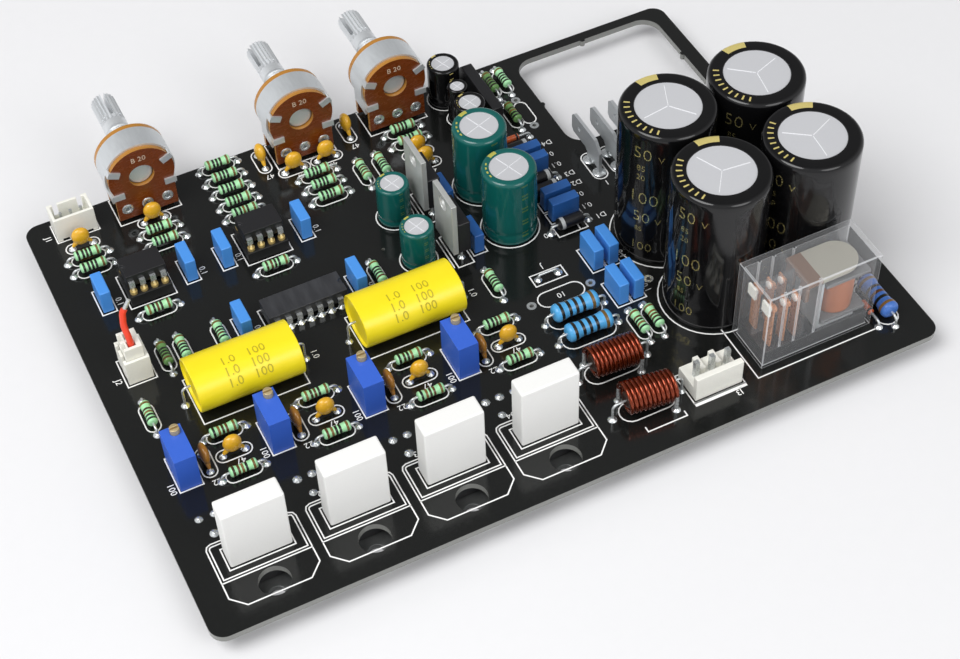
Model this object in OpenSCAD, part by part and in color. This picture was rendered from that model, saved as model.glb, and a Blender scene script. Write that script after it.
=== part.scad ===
// Four-channel audio power amplifier module.
// One black circuit board carries the control pots, op-amps, regulators, relay,
// reservoir capacitors and headers on top. Four flat power chips hang under its front edge.
// Part places are measured from the front left corner of the board's top face.

/* [Board] */
// Width of the board
board_w = 174; // [172:0.5:190]
// Depth of the board, without the control shafts
board_d = 127; // [126.5:0.5:128]
// Thickness of the laminate
board_t = 1.6; // [1:0.1:2.4]
// Radius of the board's outer corners
board_corner_r = 3.5; // [1:0.5:5]
// Strip of board left beside the window in the rear right corner
window_side_rim = 3.8; // [3:0.1:14]
// Strip of board left behind the window
window_rear_rim = 2.7; // [2:0.1:14]
// Corner radius of the window
window_r = 5; // [2:0.5:8]
// Diameter of the screwdriver hole over each power chip
access_hole_d = 7.1; // [5:0.1:9]
// Height of a solder fillet over the board
solder_h = 0.6; // [0.3:0.05:0.8]
// Radius of a solder fillet at its foot
solder_r = 1; // [0.8:0.05:1.1]
// Length of the clipped lead tips under the board
lead_tip_h = 1.3; // [0.8:0.1:2]

/* [Power chips] */
// Spacing of the four channels
channel_pitch = 22.3; // [21.5:0.1:22.4]
// Width of a power chip
chip_w = 20; // [18:0.1:20.5]
// Depth of a power chip's plastic body
chip_body_d = 10.2; // [8:0.1:10.4]
// Thickness of the plastic over the metal tab
chip_body_t = 3.2; // [2:0.1:5]
// Thickness of the metal tab
chip_tab_t = 1.5; // [1:0.1:2.5]
// Length of tab in front of the plastic body
chip_tab_l = 6.9; // [5.5:0.1:8]
// Air gap between the plastic body and the board
chip_gap = 0.3; // [0.2:0.1:1]
// Diameter of the screw hole in the tab
chip_screw_d = 3.8; // [3:0.1:4.5]
// Spacing of the chip leads along a row
chip_lead_pitch = 3.4; // [3:0.05:3.5]

/* [Cement resistors] */
// Width of a cement resistor block
cement_w = 13.8; // [12:0.1:16]
// Thickness of a cement resistor block
cement_d = 5; // [4:0.1:6]
// Height of a cement resistor block
cement_h = 17.5; // [12:0.1:22]

/* [Axial parts] */
// Body length of a signal resistor
resistor_l = 6.3; // [5:0.1:7]
// Largest diameter of a signal resistor
resistor_d = 2.4; // [1.8:0.1:2.6]
// Lead spacing of a signal resistor
resistor_pitch = 10.16; // [9.6:0.02:11]
// Wire diameter of the thin leads
lead_d = 0.6; // [0.4:0.05:0.7]
// Body length of a power resistor
power_resistor_l = 11.2; // [9:0.1:12]
// Diameter of a power resistor
power_resistor_d = 4.4; // [3:0.1:4.8]
// Lead spacing of a power resistor
power_resistor_pitch = 15.2; // [14.6:0.1:16]
// Body length of a rectifier diode
rectifier_l = 6.6; // [5:0.1:7]
// Diameter of a rectifier diode
rectifier_d = 3; // [2.4:0.1:3.2]
// Length of the yellow film capacitors
film_l = 24.5; // [20:0.1:25.5]
// Width of the yellow film capacitors
film_w = 13.4; // [12:0.1:14]
// Height of the yellow film capacitors
film_h = 10.6; // [8:0.1:11.5]
// Lead spacing of the yellow film capacitors
film_pitch = 28.6; // [28.2:0.1:29]

/* [Radial parts] */
// Diameter of a reservoir capacitor
reservoir_d = 22; // [16:0.1:22.4]
// Height of a reservoir capacitor
reservoir_h = 40; // [25:0.5:50]
// Spacing of the reservoir capacitors
reservoir_pitch = 22.7; // [22.5:0.05:23.4]
// Diameter of the large green capacitors
green_d = 13; // [10:0.1:13.4]
// Height of the large green capacitors
green_h = 20; // [14:0.5:28]
// Diameter of the small green capacitors
green_small_d = 8; // [5:0.1:8.4]
// Height of the small green capacitors
green_small_h = 11.5; // [8:0.5:16]
// Length of a boxed capacitor
box_l = 7.2; // [6.6:0.1:7.4]
// Thickness of a boxed capacitor
box_t = 2.6; // [2.4:0.1:2.8]
// Height of a boxed capacitor
box_h = 6.5; // [4:0.1:9]

/* [Controls] */
// Height of the control shafts over the board
pot_axis_h = 13; // [12.4:0.1:16]
// Radius of the control's round wafer
pot_wafer_r = 8.1; // [7.8:0.1:8.3]
// Thickness of a wafer
pot_wafer_t = 1.2; // [0.8:0.1:1.8]
// Depth of the metal band between the wafers
pot_band_d = 6.4; // [6:0.1:7]
// Diameter of the control shaft
shaft_d = 6; // [5:0.1:6.2]
// Radial running clearance of the control shaft in its bush
shaft_clearance = 0.05; // [0.02:0.01:0.1]
// Shaft length in front of the bush
shaft_reach = 12.4; // [8:0.1:25]
// Diameter of the threaded bush
bush_d = 7; // [6.8:0.1:9]
// Length of the threaded bush
bush_l = 6; // [4:0.1:9]
// Length of a multi-turn trimmer
trimmer_l = 9.5; // [8.6:0.1:10]
// Width of a multi-turn trimmer
trimmer_w = 4.8; // [4.4:0.1:5]
// Height of a multi-turn trimmer
trimmer_h = 10; // [6:0.1:12]
// Diameter of the trimmer's brass screw
trimmer_screw_d = 2.2; // [1.6:0.1:2.4]

/* [Relay and coils] */
// Length of the relay cover
relay_l = 28.4; // [28:0.1:28.6]
// Depth of the relay cover
relay_d = 12.4; // [12:0.1:12.5]
// Height of the relay cover
relay_h = 22.6; // [22.4:0.1:26]
// Wall of the clear relay cover
relay_wall = 0.8; // [0.5:0.05:0.9]
// Wire diameter of the output coils
coil_wire_d = 1.05; // [0.8:0.05:1.2]
// Mean diameter of the output coils
coil_d = 6.7; // [6.4:0.1:8]

/* [Headers] */
// Height of the white headers
header_h = 7; // [6:0.1:8]
// Pin spacing of the signal headers
signal_pin_pitch = 2.5; // [2:0.02:2.54]
// Pin spacing of the speaker header
speaker_pin_pitch = 3.9; // [3.5:0.02:3.96]
// Blade thickness of the flat supply terminals
blade_t = 0.8; // [0.5:0.05:1]
// Height of the top edge of the supply terminals
blade_top = 9; // [8:0.1:10]

/* [Hidden] */
$fn = 48;

// Places on the board, each [x, y] or [x, y, turn]
window_at = [129.6, 91];
window_w = board_w - window_side_rim - window_at[0];
window_d = board_d - window_rear_rim - window_at[1];
window_nub_r = 0.7;
first_channel = 16.3;
channel_x = [for (i = [0:3]) first_channel + i * channel_pitch];
access_y = 7.9;
resistors_along_x = [
    [11.3, 111.2], [11.3, 106.9], [29.1, 111.2], [29.1, 106.9],
    [49.2, 124.9], [49.2, 120.2], [49.2, 115.6], [49.2, 111], [49.2, 106.8],
    [20.4, 87.5], [49.3, 87.5], [69.7, 111], [69.7, 106.7], [69.7, 102.3], [94.5, 115.2], [94.5, 110.7],
    [20.8, 47.7], [42.4, 47.7], [64.8, 47.7], [86.7, 47.7],
    [20.8, 36.1], [42.4, 36.1], [64.8, 36.1], [86.7, 36.1]];
resistors_along_y = [
    [16.8, 73.8], [21.1, 73.8], [30.2, 73.8], [69.1, 73.8], [7.8, 59.3], [91.6, 59],
    [79.8, 106], [84.8, 106], [120.9, 119.4], [124.4, 119.4], [120.9, 106.9], [115.1, 32.7], [118.8, 32.7]];
power_resistors_at = [[104, 42.6, 0], [104, 36.1, 0], [165.7, 13.7, 90]];
coils_at = [[103.9, 24.8, -4], [105.5, 12.3, -7]];
coil_turns = [11, 11];
rectifiers_at = [[115.8, 67.2, 0], [115.8, 79.4, 0], [115.8, 83, 0], [115.8, 94.9, 0]];
signal_diodes_at = [[116.4, 98.7, 0], [162.3, 12.7, 90]];
film_at = [[30.3, 59, 0], [69.6, 59, 0]];
pale_boxes_at = [
    [10.1, 96.3], [30.7, 96.3], [39.7, 96.3], [59.5, 96.3], [35.5, 73.5], [63.8, 73.5],
    [115.3, 55.6], [119.2, 55.6], [115.3, 43.7], [119.2, 43.7]];
dark_boxes_along_y = [[93.3, 89.4], [93.4, 73.3]];
dark_boxes_along_x = [[116.4, 91], [116.4, 87.1], [116.4, 75.6], [116.4, 71.5]];
drops_along_x = [
    [11.3, 115.5], [29.2, 115.5], [65.5, 115.4], [74, 115.4], [94.6, 106.5], [94.6, 102.1],
    [20.8, 42.1], [42.4, 42.1], [64.9, 42.1], [86.8, 42.1]];
drops_along_y = [[59.3, 121.6], [82, 121.6]];
discs_along_y = [[14.4, 42.2], [35.5, 42.2], [57.6, 42.2], [80, 42.2]];
trimmers_at = [[9.4, 42.3], [30.6, 42.3], [52.4, 42.3], [75, 42.3]];
reservoir_at = [134, 33.5];
reservoir_scores = [38, 68, 12, 16];
green_large_at = [[103.4, 89.3], [103.4, 73.9]];
green_small_at = [[80.6, 89.6], [79.8, 74.4]];
black_caps_at = [[108.8, 121, 8, 12], [108.8, 112.9, 5, 11], [108.8, 105.8, 7.6, 11.5]];
regulators_at = [[86, 89], [86, 73]];
protection_at = [115, 112.5];
op_amps_at = [[20.4, 96.6], [49.3, 96.6]];
switch_chip_at = [50.4, 73.2];
pots_x = [29.1, 69.7, 94.5];
pot_rear_y = 117.8;
relay_at = [132.7, 9.4];
input_header_at = [11.5, 122];
output_header_at = [121.2, 12.1];
select_header_at = [9.9, 73.7];
blades_x = [130.6, 135.6, 140.6];
blade_feet_y = [79.8, 84.8];
empty_holes = [
    [124.3, 101.8], [124.3, 112], [96.4, 49.3], [111.6, 49.3], [124, 44.2], [73.7, 81.2]];
jumpers_at = [[104, 55.7, 0]];

// Common heights
stand_h = board_t + chip_gap + chip_body_t + chip_tab_t;
under_z = -board_t;
empty_hole_d = 0.9;
solder_tip_r = 0.45;
bend_r = 1.2;
cut = 1;
axial_lift = 0.6;
resistor_z = resistor_d / 2 + axial_lift;
power_resistor_z = power_resistor_d / 2 + axial_lift;
rectifier_z = rectifier_d / 2 + axial_lift;
signal_diode_l = 3.8;
signal_diode_d = 1.6;
signal_diode_z = signal_diode_d / 2 + 0.8;
film_z = film_h / 2 + 0.4;
jumper_pitch = 5.2;
jumper_z = 1.5;

// Lead spacing of the upright parts
box_pitch = 5;
green_pitch = 5;
green_small_pitch = 3.5;
black_pitch = 2.5;
reservoir_lead_pitch = 10;

// Sleeved cans
can_chamfer = 0.3;
vent_sunk = 0.3;
vent_share = 0.7;
score_w = 0.3;
score_depth = 0.15;
score_end = 0.6;
box_step = 0.8;

// Drop shaped capacitors
drop_w = 4.3;
drop_t = 2.7;
drop_h = 4.6;
drop_z = 1.2;
drop_pitch = 5.08;
drop_foot = 0.62;
drop_lead_in = 1.2;
disc_w = 5;
disc_t = 2.2;
disc_h = 4.8;

// Coil on its inner resistor
coil_r = coil_d / 2;
coil_lift = 0.8;
coil_gap = 0.04;
coil_lead_strip = 0.1;
coil_z = coil_r + coil_wire_d / 2 + coil_lift;
coil_step = coil_wire_d + coil_gap;
coil_lead_d = coil_wire_d - coil_lead_strip;
inner_pitch = 17.2;

// Chips
dip_pitch = 2.54;
dip_row = 7.62;
dip_body_w = 6.4;
dip_body_t = 3.3;
leg_t = 0.25;
leg_w = 0.5;
leg_wide = 1.3;
leg_wide_l = 1.6;
notch_r = 0.9;
notch_depth = 0.5;
socket_h = 3.2;
socket_cup_h = 0.7;
socket_cup_r = 0.85;
socket_rail = 1.5;
socket_side = 2.5;
op_amp_l = 9.6;
op_amp_z = socket_h + socket_cup_h + 0.9;
switch_chip_l = 19.2;
switch_chip_z = 1;
tab_w = 10;
tab_t = 1.3;
tab_h = 15.6;
tab_hole_d = 3.6;
regulator_t = 3.2;
regulator_h = 9.2;
regulator_z = 4.2;
regulator_lead = [0.5, 0.8];
tab_hole_down = 2.8;
sip_l = 19.4;
sip_t = 2.8;
sip_h = 6.6;
sip_z = 2.4;
sip_pitch = 2.4;
sip_corner = 1.6;
sip_lead = [0.3, 0.6];
chip_body_y = 12;
chip_tab_z = under_z - chip_gap - chip_body_t - chip_tab_t;
chip_chamfer = 3;
chip_row_front = 24.5;
chip_row_rear = 29.2;
chip_lead_w = 0.8;
chip_lead_t = 0.5;
cement_y = 14.7;

// Controls, stacked from the rear wafer to the shaft tip
pot_foot_w = 14.8;
pot_foot_z = 1;
pot_band_t = 0.5;
pot_band_low = 6;
pot_plate_t = 1.4;
pot_plate_r = 6.2;
pot_hole_r = 3.1;
pot_hole_play = 0.4;
pot_band_y = pot_rear_y + pot_wafer_t;
pot_front_y = pot_band_y + pot_band_d;
pot_plate_y = pot_front_y + pot_wafer_t;
bush_y = pot_plate_y + pot_plate_t;
shaft_tip_y = bush_y + bush_l + shaft_reach;
stub_play = 0.3;
shaft_stub_r = pot_hole_r - stub_play;
journal_step = 0.2;
journal_d = shaft_d - 2 * journal_step;
shoulder_gap = 0.2;
stub_sunk = 1;
rotor_r = 6;
rotor_t = 1.4;
rotor_gap = 0.5;
slot_w = 1;
slot_l = 8;
// Turn of each shaft's split end from upright
slot_turns = [5, -50, -50];
pot_pin_pitch = 5;
eyelet_z = 4.1;
eyelet_r = 1.45;
eyelet_t = 0.3;
eyelet_barrel_r = 0.8;
eyelet_bore_r = 0.5;
eyelet_play = 0.1;
pot_strip_w = 1.6;
pot_strip_t = 0.4;
pot_strip_over = 1;
// Turn of each tab, its height in that turn and the edge that it folds over
pot_tabs = [[25, 0, pot_wafer_r], [0, -4.2, pot_foot_w / 2]];
pot_tab_w = 1.6;
pot_tab_in = 2.4;
pot_tab_play = 0.1;
trimmer_screw_at = [0.7, 3.1];
trimmer_screw_rise = 1.4;
trimmer_screw_sunk = 2.5;
trimmer_screw_clearance = 0.05;
trimmer_slot_w = 0.5;
trimmer_slot_depth = 0.7;
trimmer_floor_gap = 0.2;

// Relay, from its own front left corner
relay_base_h = 4;
relay_play = 0.1;
relay_rib = 0.4;
relay_ribs_x = [4.4, 8, 13.2];
relay_coil_at = [21.3, relay_d / 2];
relay_yoke_x = 14.6;
relay_yoke_t = 1.2;
relay_yoke_w = 9.2;
relay_core_r = 2.2;
relay_tube_r = 3;
relay_upright_t = 0.6;
relay_hinge_gap = 0.4;
relay_flange = [11.4, 10];
relay_flange_t = 1;
relay_winding_r = 4.5;
relay_armature_t = 1.1;
relay_headroom = 1.7;
relay_pole_gap = 0.8;
relay_core_rise = 0.4;
relay_hinge_z = relay_h - relay_wall - relay_headroom - relay_armature_t;
relay_pole_z = relay_hinge_z - relay_pole_gap;
relay_lower_z = relay_base_h + relay_yoke_t;
relay_upper_z = relay_pole_z - relay_core_rise - relay_flange_t;
relay_winding_h = relay_upper_z - relay_lower_z - relay_flange_t;
relay_arm_w = 9.4;
relay_arm_right = 10.8;
relay_arm_left = 4;
relay_finger_h = 5;
relay_finger_t = 1;
relay_poles_y = [relay_d / 2 - 2.8, relay_d / 2 + 2.8];
relay_pin_x = [3, 6.4, 9.6, 26];
relay_strip_x = [3, 6.4, 9.4];
relay_strip_t = 0.5;
relay_strip_w = 2.6;
relay_strip_down = 2;
relay_strip_h = relay_hinge_z - relay_strip_down - relay_base_h;
relay_rivet_r = 1;
relay_rivet_h = 0.8;
relay_rivet_down = 2;

// Headers, plug and wire
signal_header_w = 5.8;
signal_header_wall = 0.7;
header_floor = 2;
signal_header_end = 4.9;
header_key_in = 2;
header_key_w = 1.2;
header_key_z = 3.4;
header_vent_w = 1.6;
header_vent_h = 0.6;
signal_pin_w = 0.64;
signal_pin_top = 6.2;
speaker_header_end = 4;
speaker_header_d = 7.6;
speaker_wall_t = 1.4;
speaker_base_h = 3.5;
speaker_rib_h = 1.6;
speaker_rib_w = 1.4;
speaker_pin_w = 1.1;
speaker_pin_top = 8.4;
blade_reach = 8.4;
blade_w = 5.6;
blade_leg_w = 1;
blade_nose = 0.9;
blade_slope = 2.6;
blade_arch_z = 1.6;
blade_hole_in = 3.6;
blade_hole_d = 1.2;
plug_play = 0.1;
plug_top = 10.4;
plug_cell = 1.8;
wire_d = 1.5;
wire_core_d = 0.9;
wire_route = [[0, 0, 0], [0, 0, 4.6], [-0.1, 0.7, 6.4], [-0.2, 1.8, 8.2], [0.1, 2.5, 9.8], [0.45, 3, 11.2],
    [1, 3.2, 11.8]];
wire_sides = 8;
wire_core_l = 2.4;

// Gives every place in a list the same turn
function turned(list, turn) = [for (p = list) [p[0], p[1], turn]];
small_resistors = concat(turned(resistors_along_x, 0), turned(resistors_along_y, 90));
drops = concat(turned(drops_along_x, 0), turned(drops_along_y, 90));
discs = turned(discs_along_y, 90);
dark_boxes = concat(turned(dark_boxes_along_y, 0), turned(dark_boxes_along_x, 90));
pale_boxes = turned(pale_boxes_at, 0);
reservoirs = [for (i = [0:1]) for (j = [0:1]) reservoir_at + reservoir_pitch * [i, j]];

// Two ends of each axial part, at a pitch along its own direction
function ends(list, pitch) = [
    for (p = list) for (s = [-1, 1]) [p[0], p[1]] + s * pitch / 2 * [cos(p[2]), sin(p[2])]];
function across(list, pitch) = ends(turned(list, 90), pitch);
function column(p, count, pitch) = [for (i = [0:count - 1]) p + [0, (i - (count - 1) / 2) * pitch]];
function row(p, count, pitch) = [for (i = [0:count - 1]) p + [(i - (count - 1) / 2) * pitch, 0]];
function dual_row(p, count) = concat(
    row(p - [0, dip_row / 2], count, dip_pitch), row(p + [0, dip_row / 2], count, dip_pitch));
function arc(centre, r, from, to, steps = 6) = [
    for (i = [0:steps]) let (a = from + (to - from) * i / steps) centre + r * [cos(a), sin(a)]];

regulator_pins = [for (p = regulators_at) each column(p + [tab_t + regulator_t / 2, 0], 3, dip_pitch)];
sip_pins = column(protection_at, 8, sip_pitch);
chip_front_pins = [for (x = channel_x) each row([x, chip_row_front], 5, chip_lead_pitch)];
chip_rear_pins = [for (x = channel_x) each row([x, chip_row_rear], 6, chip_lead_pitch)];
coil_leads = [for (c = coils_at, s = [-1, 1]) coil_lead_at(c, s)];
function coil_half(c) = (coil_turns[c == coils_at[0] ? 0 : 1] - 1) / 2 * coil_step;
function coil_lead_at(c, s) = [c[0], c[1]]
    + s * coil_half(c) * [cos(c[2]), sin(c[2])] + s * coil_r * [sin(c[2]), -cos(c[2])];
blade_feet = [for (x = blades_x, y = blade_feet_y) [x, y]];
pot_pins = [for (x = pots_x, y = [pot_band_y + pot_strip_t / 2, pot_front_y - pot_strip_t / 2])
    each row([x, y], 3, pot_pin_pitch)];
inner_resistors = turned(coils_at, 0);
plug_size = [
    signal_header_w - 2 * signal_header_wall - 2 * plug_play,
    signal_pin_pitch + signal_header_end - 2 * signal_header_wall - 2 * plug_play, plug_top - header_floor];
wire_at = select_header_at - [0, signal_pin_pitch / 2];
relay_in = [relay_l - 2 * relay_wall, relay_d - 2 * relay_wall];
screw_bore_r = trimmer_screw_d / 2 + trimmer_screw_clearance;

// Joints that show on top of the board, and those that only show under it
joints_from_below = concat(
    ends(small_resistors, resistor_pitch), ends(power_resistors_at, power_resistor_pitch),
    ends(inner_resistors, inner_pitch), ends(rectifiers_at, resistor_pitch),
    ends(signal_diodes_at, resistor_pitch), ends(film_at, film_pitch), ends(drops, drop_pitch),
    ends(discs, drop_pitch), coil_leads, regulator_pins, sip_pins, dual_row(switch_chip_at, 7),
    blade_feet, ends(jumpers_at, jumper_pitch));
joints_on_top = concat(joints_from_below, chip_front_pins, chip_rear_pins);
hidden_joints = concat(
    across(concat(pale_boxes, dark_boxes_along_y), box_pitch),
    ends(turned(dark_boxes_along_x, 0), box_pitch),
    [for (p = trimmers_at) each column(p, 3, dip_pitch)],
    ends(turned(green_large_at, 0), green_pitch), ends(turned(green_small_at, 0), green_small_pitch),
    across(black_caps_at, black_pitch), across(reservoirs, reservoir_lead_pitch),
    [for (x = relay_pin_x, y = relay_poles_y) relay_at + [x, y]], pot_pins,
    row(input_header_at, 3, signal_pin_pitch), row(output_header_at, 3, speaker_pin_pitch),
    column(select_header_at, 2, signal_pin_pitch), [for (p = op_amps_at) each dual_row(p, 4)]);

module on_board() translate([-board_w / 2, -shaft_tip_y / 2, stand_h]) children();
module at(p, z = 0) translate([p[0], p[1], z]) rotate(len(p) > 2 ? p[2] : 0) children();
module along_x() rotate([0, 90, 0]) children();
module along_y() rotate([-90, 0, 0]) children();
module block(size, z = 0) translate([-size[0] / 2, -size[1] / 2, z]) cube(size);

module rounded_plate(w, d, t, r) {
    translate([r, 0, 0]) cube([w - 2 * r, d, t]);
    translate([0, r, 0]) cube([w, d - 2 * r, t]);
    for (x = [r, w - r], y = [r, d - r]) translate([x, y, 0]) cylinder(r = r, h = t);
}

module circuit_board() color("#1c1d1c") on_board() translate([0, 0, under_z]) {
    difference() {
        rounded_plate(board_w, board_d, board_t, board_corner_r);
        at(window_at, -cut) rounded_plate(window_w, window_d, board_t + 2 * cut, window_r);
        for (x = channel_x) at([x, access_y], -cut) cylinder(d = access_hole_d, h = board_t + 2 * cut);
        for (p = empty_holes) at(p, -cut) cylinder(d = empty_hole_d, h = board_t + 2 * cut);
    }
    at(window_at + [window_w / 2, window_d]) cylinder(r = window_nub_r, h = board_t);
    for (x = [0, window_w]) at(window_at + [x, window_d / 2]) cylinder(r = window_nub_r, h = board_t);
}

module solder_top() color("#c9cccb") on_board()
    for (p = joints_on_top) at(p) cylinder(r1 = solder_r, r2 = solder_tip_r, h = solder_h);

module solder_underside() color("#c9cccb") on_board()
    for (p = concat(joints_from_below, hidden_joints)) at(p, under_z - lead_tip_h)
        cylinder(r1 = solder_tip_r, r2 = solder_r, h = lead_tip_h);

// Dog bone profile of a moulded resistor, as [radius, height]
function bone(l, r) = let (h = l / 2, waist = 0.86 * r, cap = 0.1 * l, half = [
    [r / 2, h], [waist, h - 0.3 * cap], [r, h - cap], [r, h - 2 * cap], [waist, h - 2.8 * cap]])
    concat([[0, h]], half, [for (i = [len(half) - 1:-1:0]) [half[i][0], -half[i][1]]], [[0, -h]]);

module bone_body(l, d) along_x() rotate_extrude() polygon(bone(l, d / 2));

// A pair of leads that leave a body's ends, bend and stand on their solder fillets
module bent_leads(body_l, pitch, axis_z) for (s = [0, 180]) rotate(s) {
    bend = min(bend_r, axis_z - solder_h);
    reach = pitch / 2 - bend;
    drop = axis_z - bend - solder_h;
    translate([body_l / 2, 0, axis_z]) along_x() cylinder(d = lead_d, h = reach - body_l / 2);
    translate([reach, 0, axis_z - bend]) rotate([90, 0, 0])
        rotate_extrude(angle = 90) translate([bend, 0]) circle(d = lead_d);
    if (drop > 0.01) translate([pitch / 2, 0, solder_h]) cylinder(d = lead_d, h = drop);
}

module signal_resistors() color("#8fd09f") on_board()
    for (p = small_resistors) at(p, resistor_z) bone_body(resistor_l, resistor_d);

module power_resistors() color("#5aaee6") on_board() {
    for (p = power_resistors_at) at(p, power_resistor_z) bone_body(power_resistor_l, power_resistor_d);
    for (p = inner_resistors) at(p, coil_z) bone_body(power_resistor_l, power_resistor_d);
}

// Slanted lead from a joint to the flat foot of a drop capacitor
module splayed_lead(s) {
    rise = drop_z - solder_h;
    run = drop_pitch / 2 - drop_lead_in;
    intersection() {
        translate([s * drop_pitch / 2, 0, solder_h]) rotate([0, -s * atan2(run, rise), 0])
            translate([0, 0, -cut]) cylinder(d = lead_d, h = norm([run, rise]) + 2 * cut);
        block([2 * drop_pitch, 2 * lead_d, rise], solder_h);
    }
}

module component_leads() color("#b9bcbb") on_board() {
    for (p = small_resistors) at(p) bent_leads(resistor_l, resistor_pitch, resistor_z);
    for (p = power_resistors_at) at(p) bent_leads(power_resistor_l, power_resistor_pitch, power_resistor_z);
    for (p = inner_resistors) at(p) bent_leads(power_resistor_l, inner_pitch, coil_z);
    for (p = rectifiers_at) at(p) bent_leads(rectifier_l, resistor_pitch, rectifier_z);
    for (p = signal_diodes_at) at(p) bent_leads(signal_diode_l, resistor_pitch, signal_diode_z);
    for (p = film_at) at(p) bent_leads(film_l, film_pitch, film_z);
    for (p = jumpers_at) at(p) bent_leads(0, jumper_pitch, jumper_z);
    for (p = concat(drops, discs), s = [-1, 1]) at(p) splayed_lead(s);
    for (p = regulator_pins) at(p)
        block([regulator_lead[0], regulator_lead[1], regulator_z - solder_h], solder_h);
    for (p = sip_pins) at(p) block([sip_lead[0], sip_lead[1], sip_z - solder_h], solder_h);
    wire_end();
}

module cement_resistors() color("#f4f4f2") on_board()
    for (x = channel_x) translate([x - cement_w / 2, cement_y, 0]) cube([cement_w, cement_d, cement_h]);

// Close wound coil as one ribbed sleeve, with a straight wire down from each end
function coil_profile(turns) = let (r = coil_wire_d / 2) concat(
    [[coil_r - r, -(turns - 1) / 2 * coil_step - r]],
    [for (i = [0:turns - 1], a = [-72:36:72])
        [coil_r + r * cos(a), (i - (turns - 1) / 2) * coil_step + r * sin(a)]],
    [[coil_r - r, (turns - 1) / 2 * coil_step + r]]);

module output_coil(n) color("#7a2a14") on_board() {
    at(coils_at[n], coil_z) along_x() rotate_extrude() polygon(coil_profile(coil_turns[n]));
    for (s = [-1, 1]) at(coil_lead_at(coils_at[n], s), solder_h)
        cylinder(d = coil_lead_d, h = coil_z - solder_h);
}
module output_coil_1() output_coil(0);
module output_coil_2() output_coil(1);

module film_capacitor(n) color("#fbe522") on_board() at(film_at[n], film_z) {
    half_flat = (film_w - film_h) / 2;
    translate([-film_l / 2, -half_flat, -film_h / 2]) cube([film_l, 2 * half_flat, film_h]);
    for (s = [-1, 1]) translate([-film_l / 2, s * half_flat, 0]) along_x() cylinder(d = film_h, h = film_l);
}
module film_capacitor_1() film_capacitor(0);
module film_capacitor_2() film_capacitor(1);

module pale_box_capacitors() color("#3f86e0") on_board()
    for (p = pale_boxes) at(p) block([box_t, box_l, box_h]);
module dark_box_capacitors() color("#2f5aa0") on_board()
    for (p = dark_boxes) at(p) block([box_t, box_l, box_h - box_step]);

// Dipped body: widest half way up, round on top, flat where its leads enter
function drop_width(u) = u < 0.5
    ? drop_foot + (1 - drop_foot) * sin(180 * u)
    : sqrt(max(0, 1 - pow(2 * u - 1, 2)));
module dipped_body(w, t, h, sides = 14, rings = 8) {
    points = [for (k = [0:rings - 1], i = [0:sides - 1])
        let (u = k / rings, f = drop_width(u), a = 360 * i / sides)
        [w / 2 * f * cos(a), t / 2 * f * sin(a), u * h]];
    walls = [for (k = [0:rings - 2], i = [0:sides - 1]) let (j = (i + 1) % sides)
        each [[k * sides + i, (k + 1) * sides + i, k * sides + j],
              [k * sides + j, (k + 1) * sides + i, (k + 1) * sides + j]]];
    top = [for (i = [0:sides - 1])
        [(rings - 1) * sides + i, rings * sides, (rings - 1) * sides + (i + 1) % sides]];
    polyhedron(concat(points, [[0, 0, h]]), concat([[for (i = [0:sides - 1]) i]], walls, top));
}
module drop_capacitors() color("#e0a32a") on_board()
    for (p = drops) at(p, drop_z) dipped_body(drop_w, drop_t, drop_h);
module disc_capacitors() color("#9a6a24") on_board()
    for (p = discs) at(p, drop_z) dipped_body(disc_w, disc_t, disc_h);

module rectifier_diodes() color("#1a1a1a") on_board()
    for (p = rectifiers_at) at(p, rectifier_z) along_x()
        cylinder(d = rectifier_d, h = rectifier_l, center = true);
module signal_diodes() color("#b8603a") on_board()
    for (p = signal_diodes_at) at(p, signal_diode_z) along_x()
        cylinder(d = signal_diode_d, h = signal_diode_l, center = true);

// Sleeved can: a round shoulder, a flat sleeve rim and a sunk vent disc with score lines
module sleeved_can(d, h, shoulder, lines, turn) {
    vent_r = vent_share * d / 2;
    difference() {
        rotate_extrude() polygon(concat(
            [[0, 0], [d / 2 - can_chamfer, 0], [d / 2, can_chamfer]],
            arc([d / 2 - shoulder, h - shoulder], shoulder, 0, 90),
            [[vent_r, h], [vent_r, h - vent_sunk], [0, h - vent_sunk]]));
        for (i = [0:lines - 1]) rotate(turn + 360 * i / lines)
            translate([0, -score_w / 2, h - vent_sunk - score_depth])
                cube([vent_r - score_end, score_w, cut]);
    }
}
module reservoir_capacitor(n) color("#0c0c0d") on_board() at(reservoirs[n])
    sleeved_can(reservoir_d, reservoir_h, 1.6, 3, reservoir_scores[n]);
module reservoir_capacitor_1() reservoir_capacitor(0);
module reservoir_capacitor_2() reservoir_capacitor(1);
module reservoir_capacitor_3() reservoir_capacitor(2);
module reservoir_capacitor_4() reservoir_capacitor(3);

module green_capacitors() color("#0f5a55") on_board() {
    for (p = green_large_at) at(p) sleeved_can(green_d, green_h, 1, 4, 20);
    for (p = green_small_at) at(p) sleeved_can(green_small_d, green_small_h, 0.8, 4, 10);
}
module black_capacitors() color("#18181a") on_board()
    for (p = black_caps_at) translate([p[0], p[1], 0]) sleeved_can(p[2], p[3], 0.7, 4, 35);

module regulator_bodies() color("#202022") on_board()
    for (p = regulators_at) at(p)
        translate([tab_t, -tab_w / 2, regulator_z]) cube([regulator_t, tab_w, regulator_h]);
module regulator_tabs() color("#b4b6b2") on_board()
    for (p = regulators_at) at(p) difference() {
        translate([0, -tab_w / 2, regulator_z]) cube([tab_t, tab_w, tab_h]);
        translate([-cut, 0, regulator_z + tab_h - tab_hole_down]) along_x()
            cylinder(d = tab_hole_d, h = tab_t + 2 * cut);
    }

module protection_chip() color("#2c2c2d") on_board() at(protection_at, sip_z) difference() {
    block([sip_t, sip_l, sip_h]);
    translate([-sip_t, sip_l / 2 - sip_corner, sip_h]) rotate([-45, 0, 0]) cube([2 * sip_t, sip_h, sip_h]);
}

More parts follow.
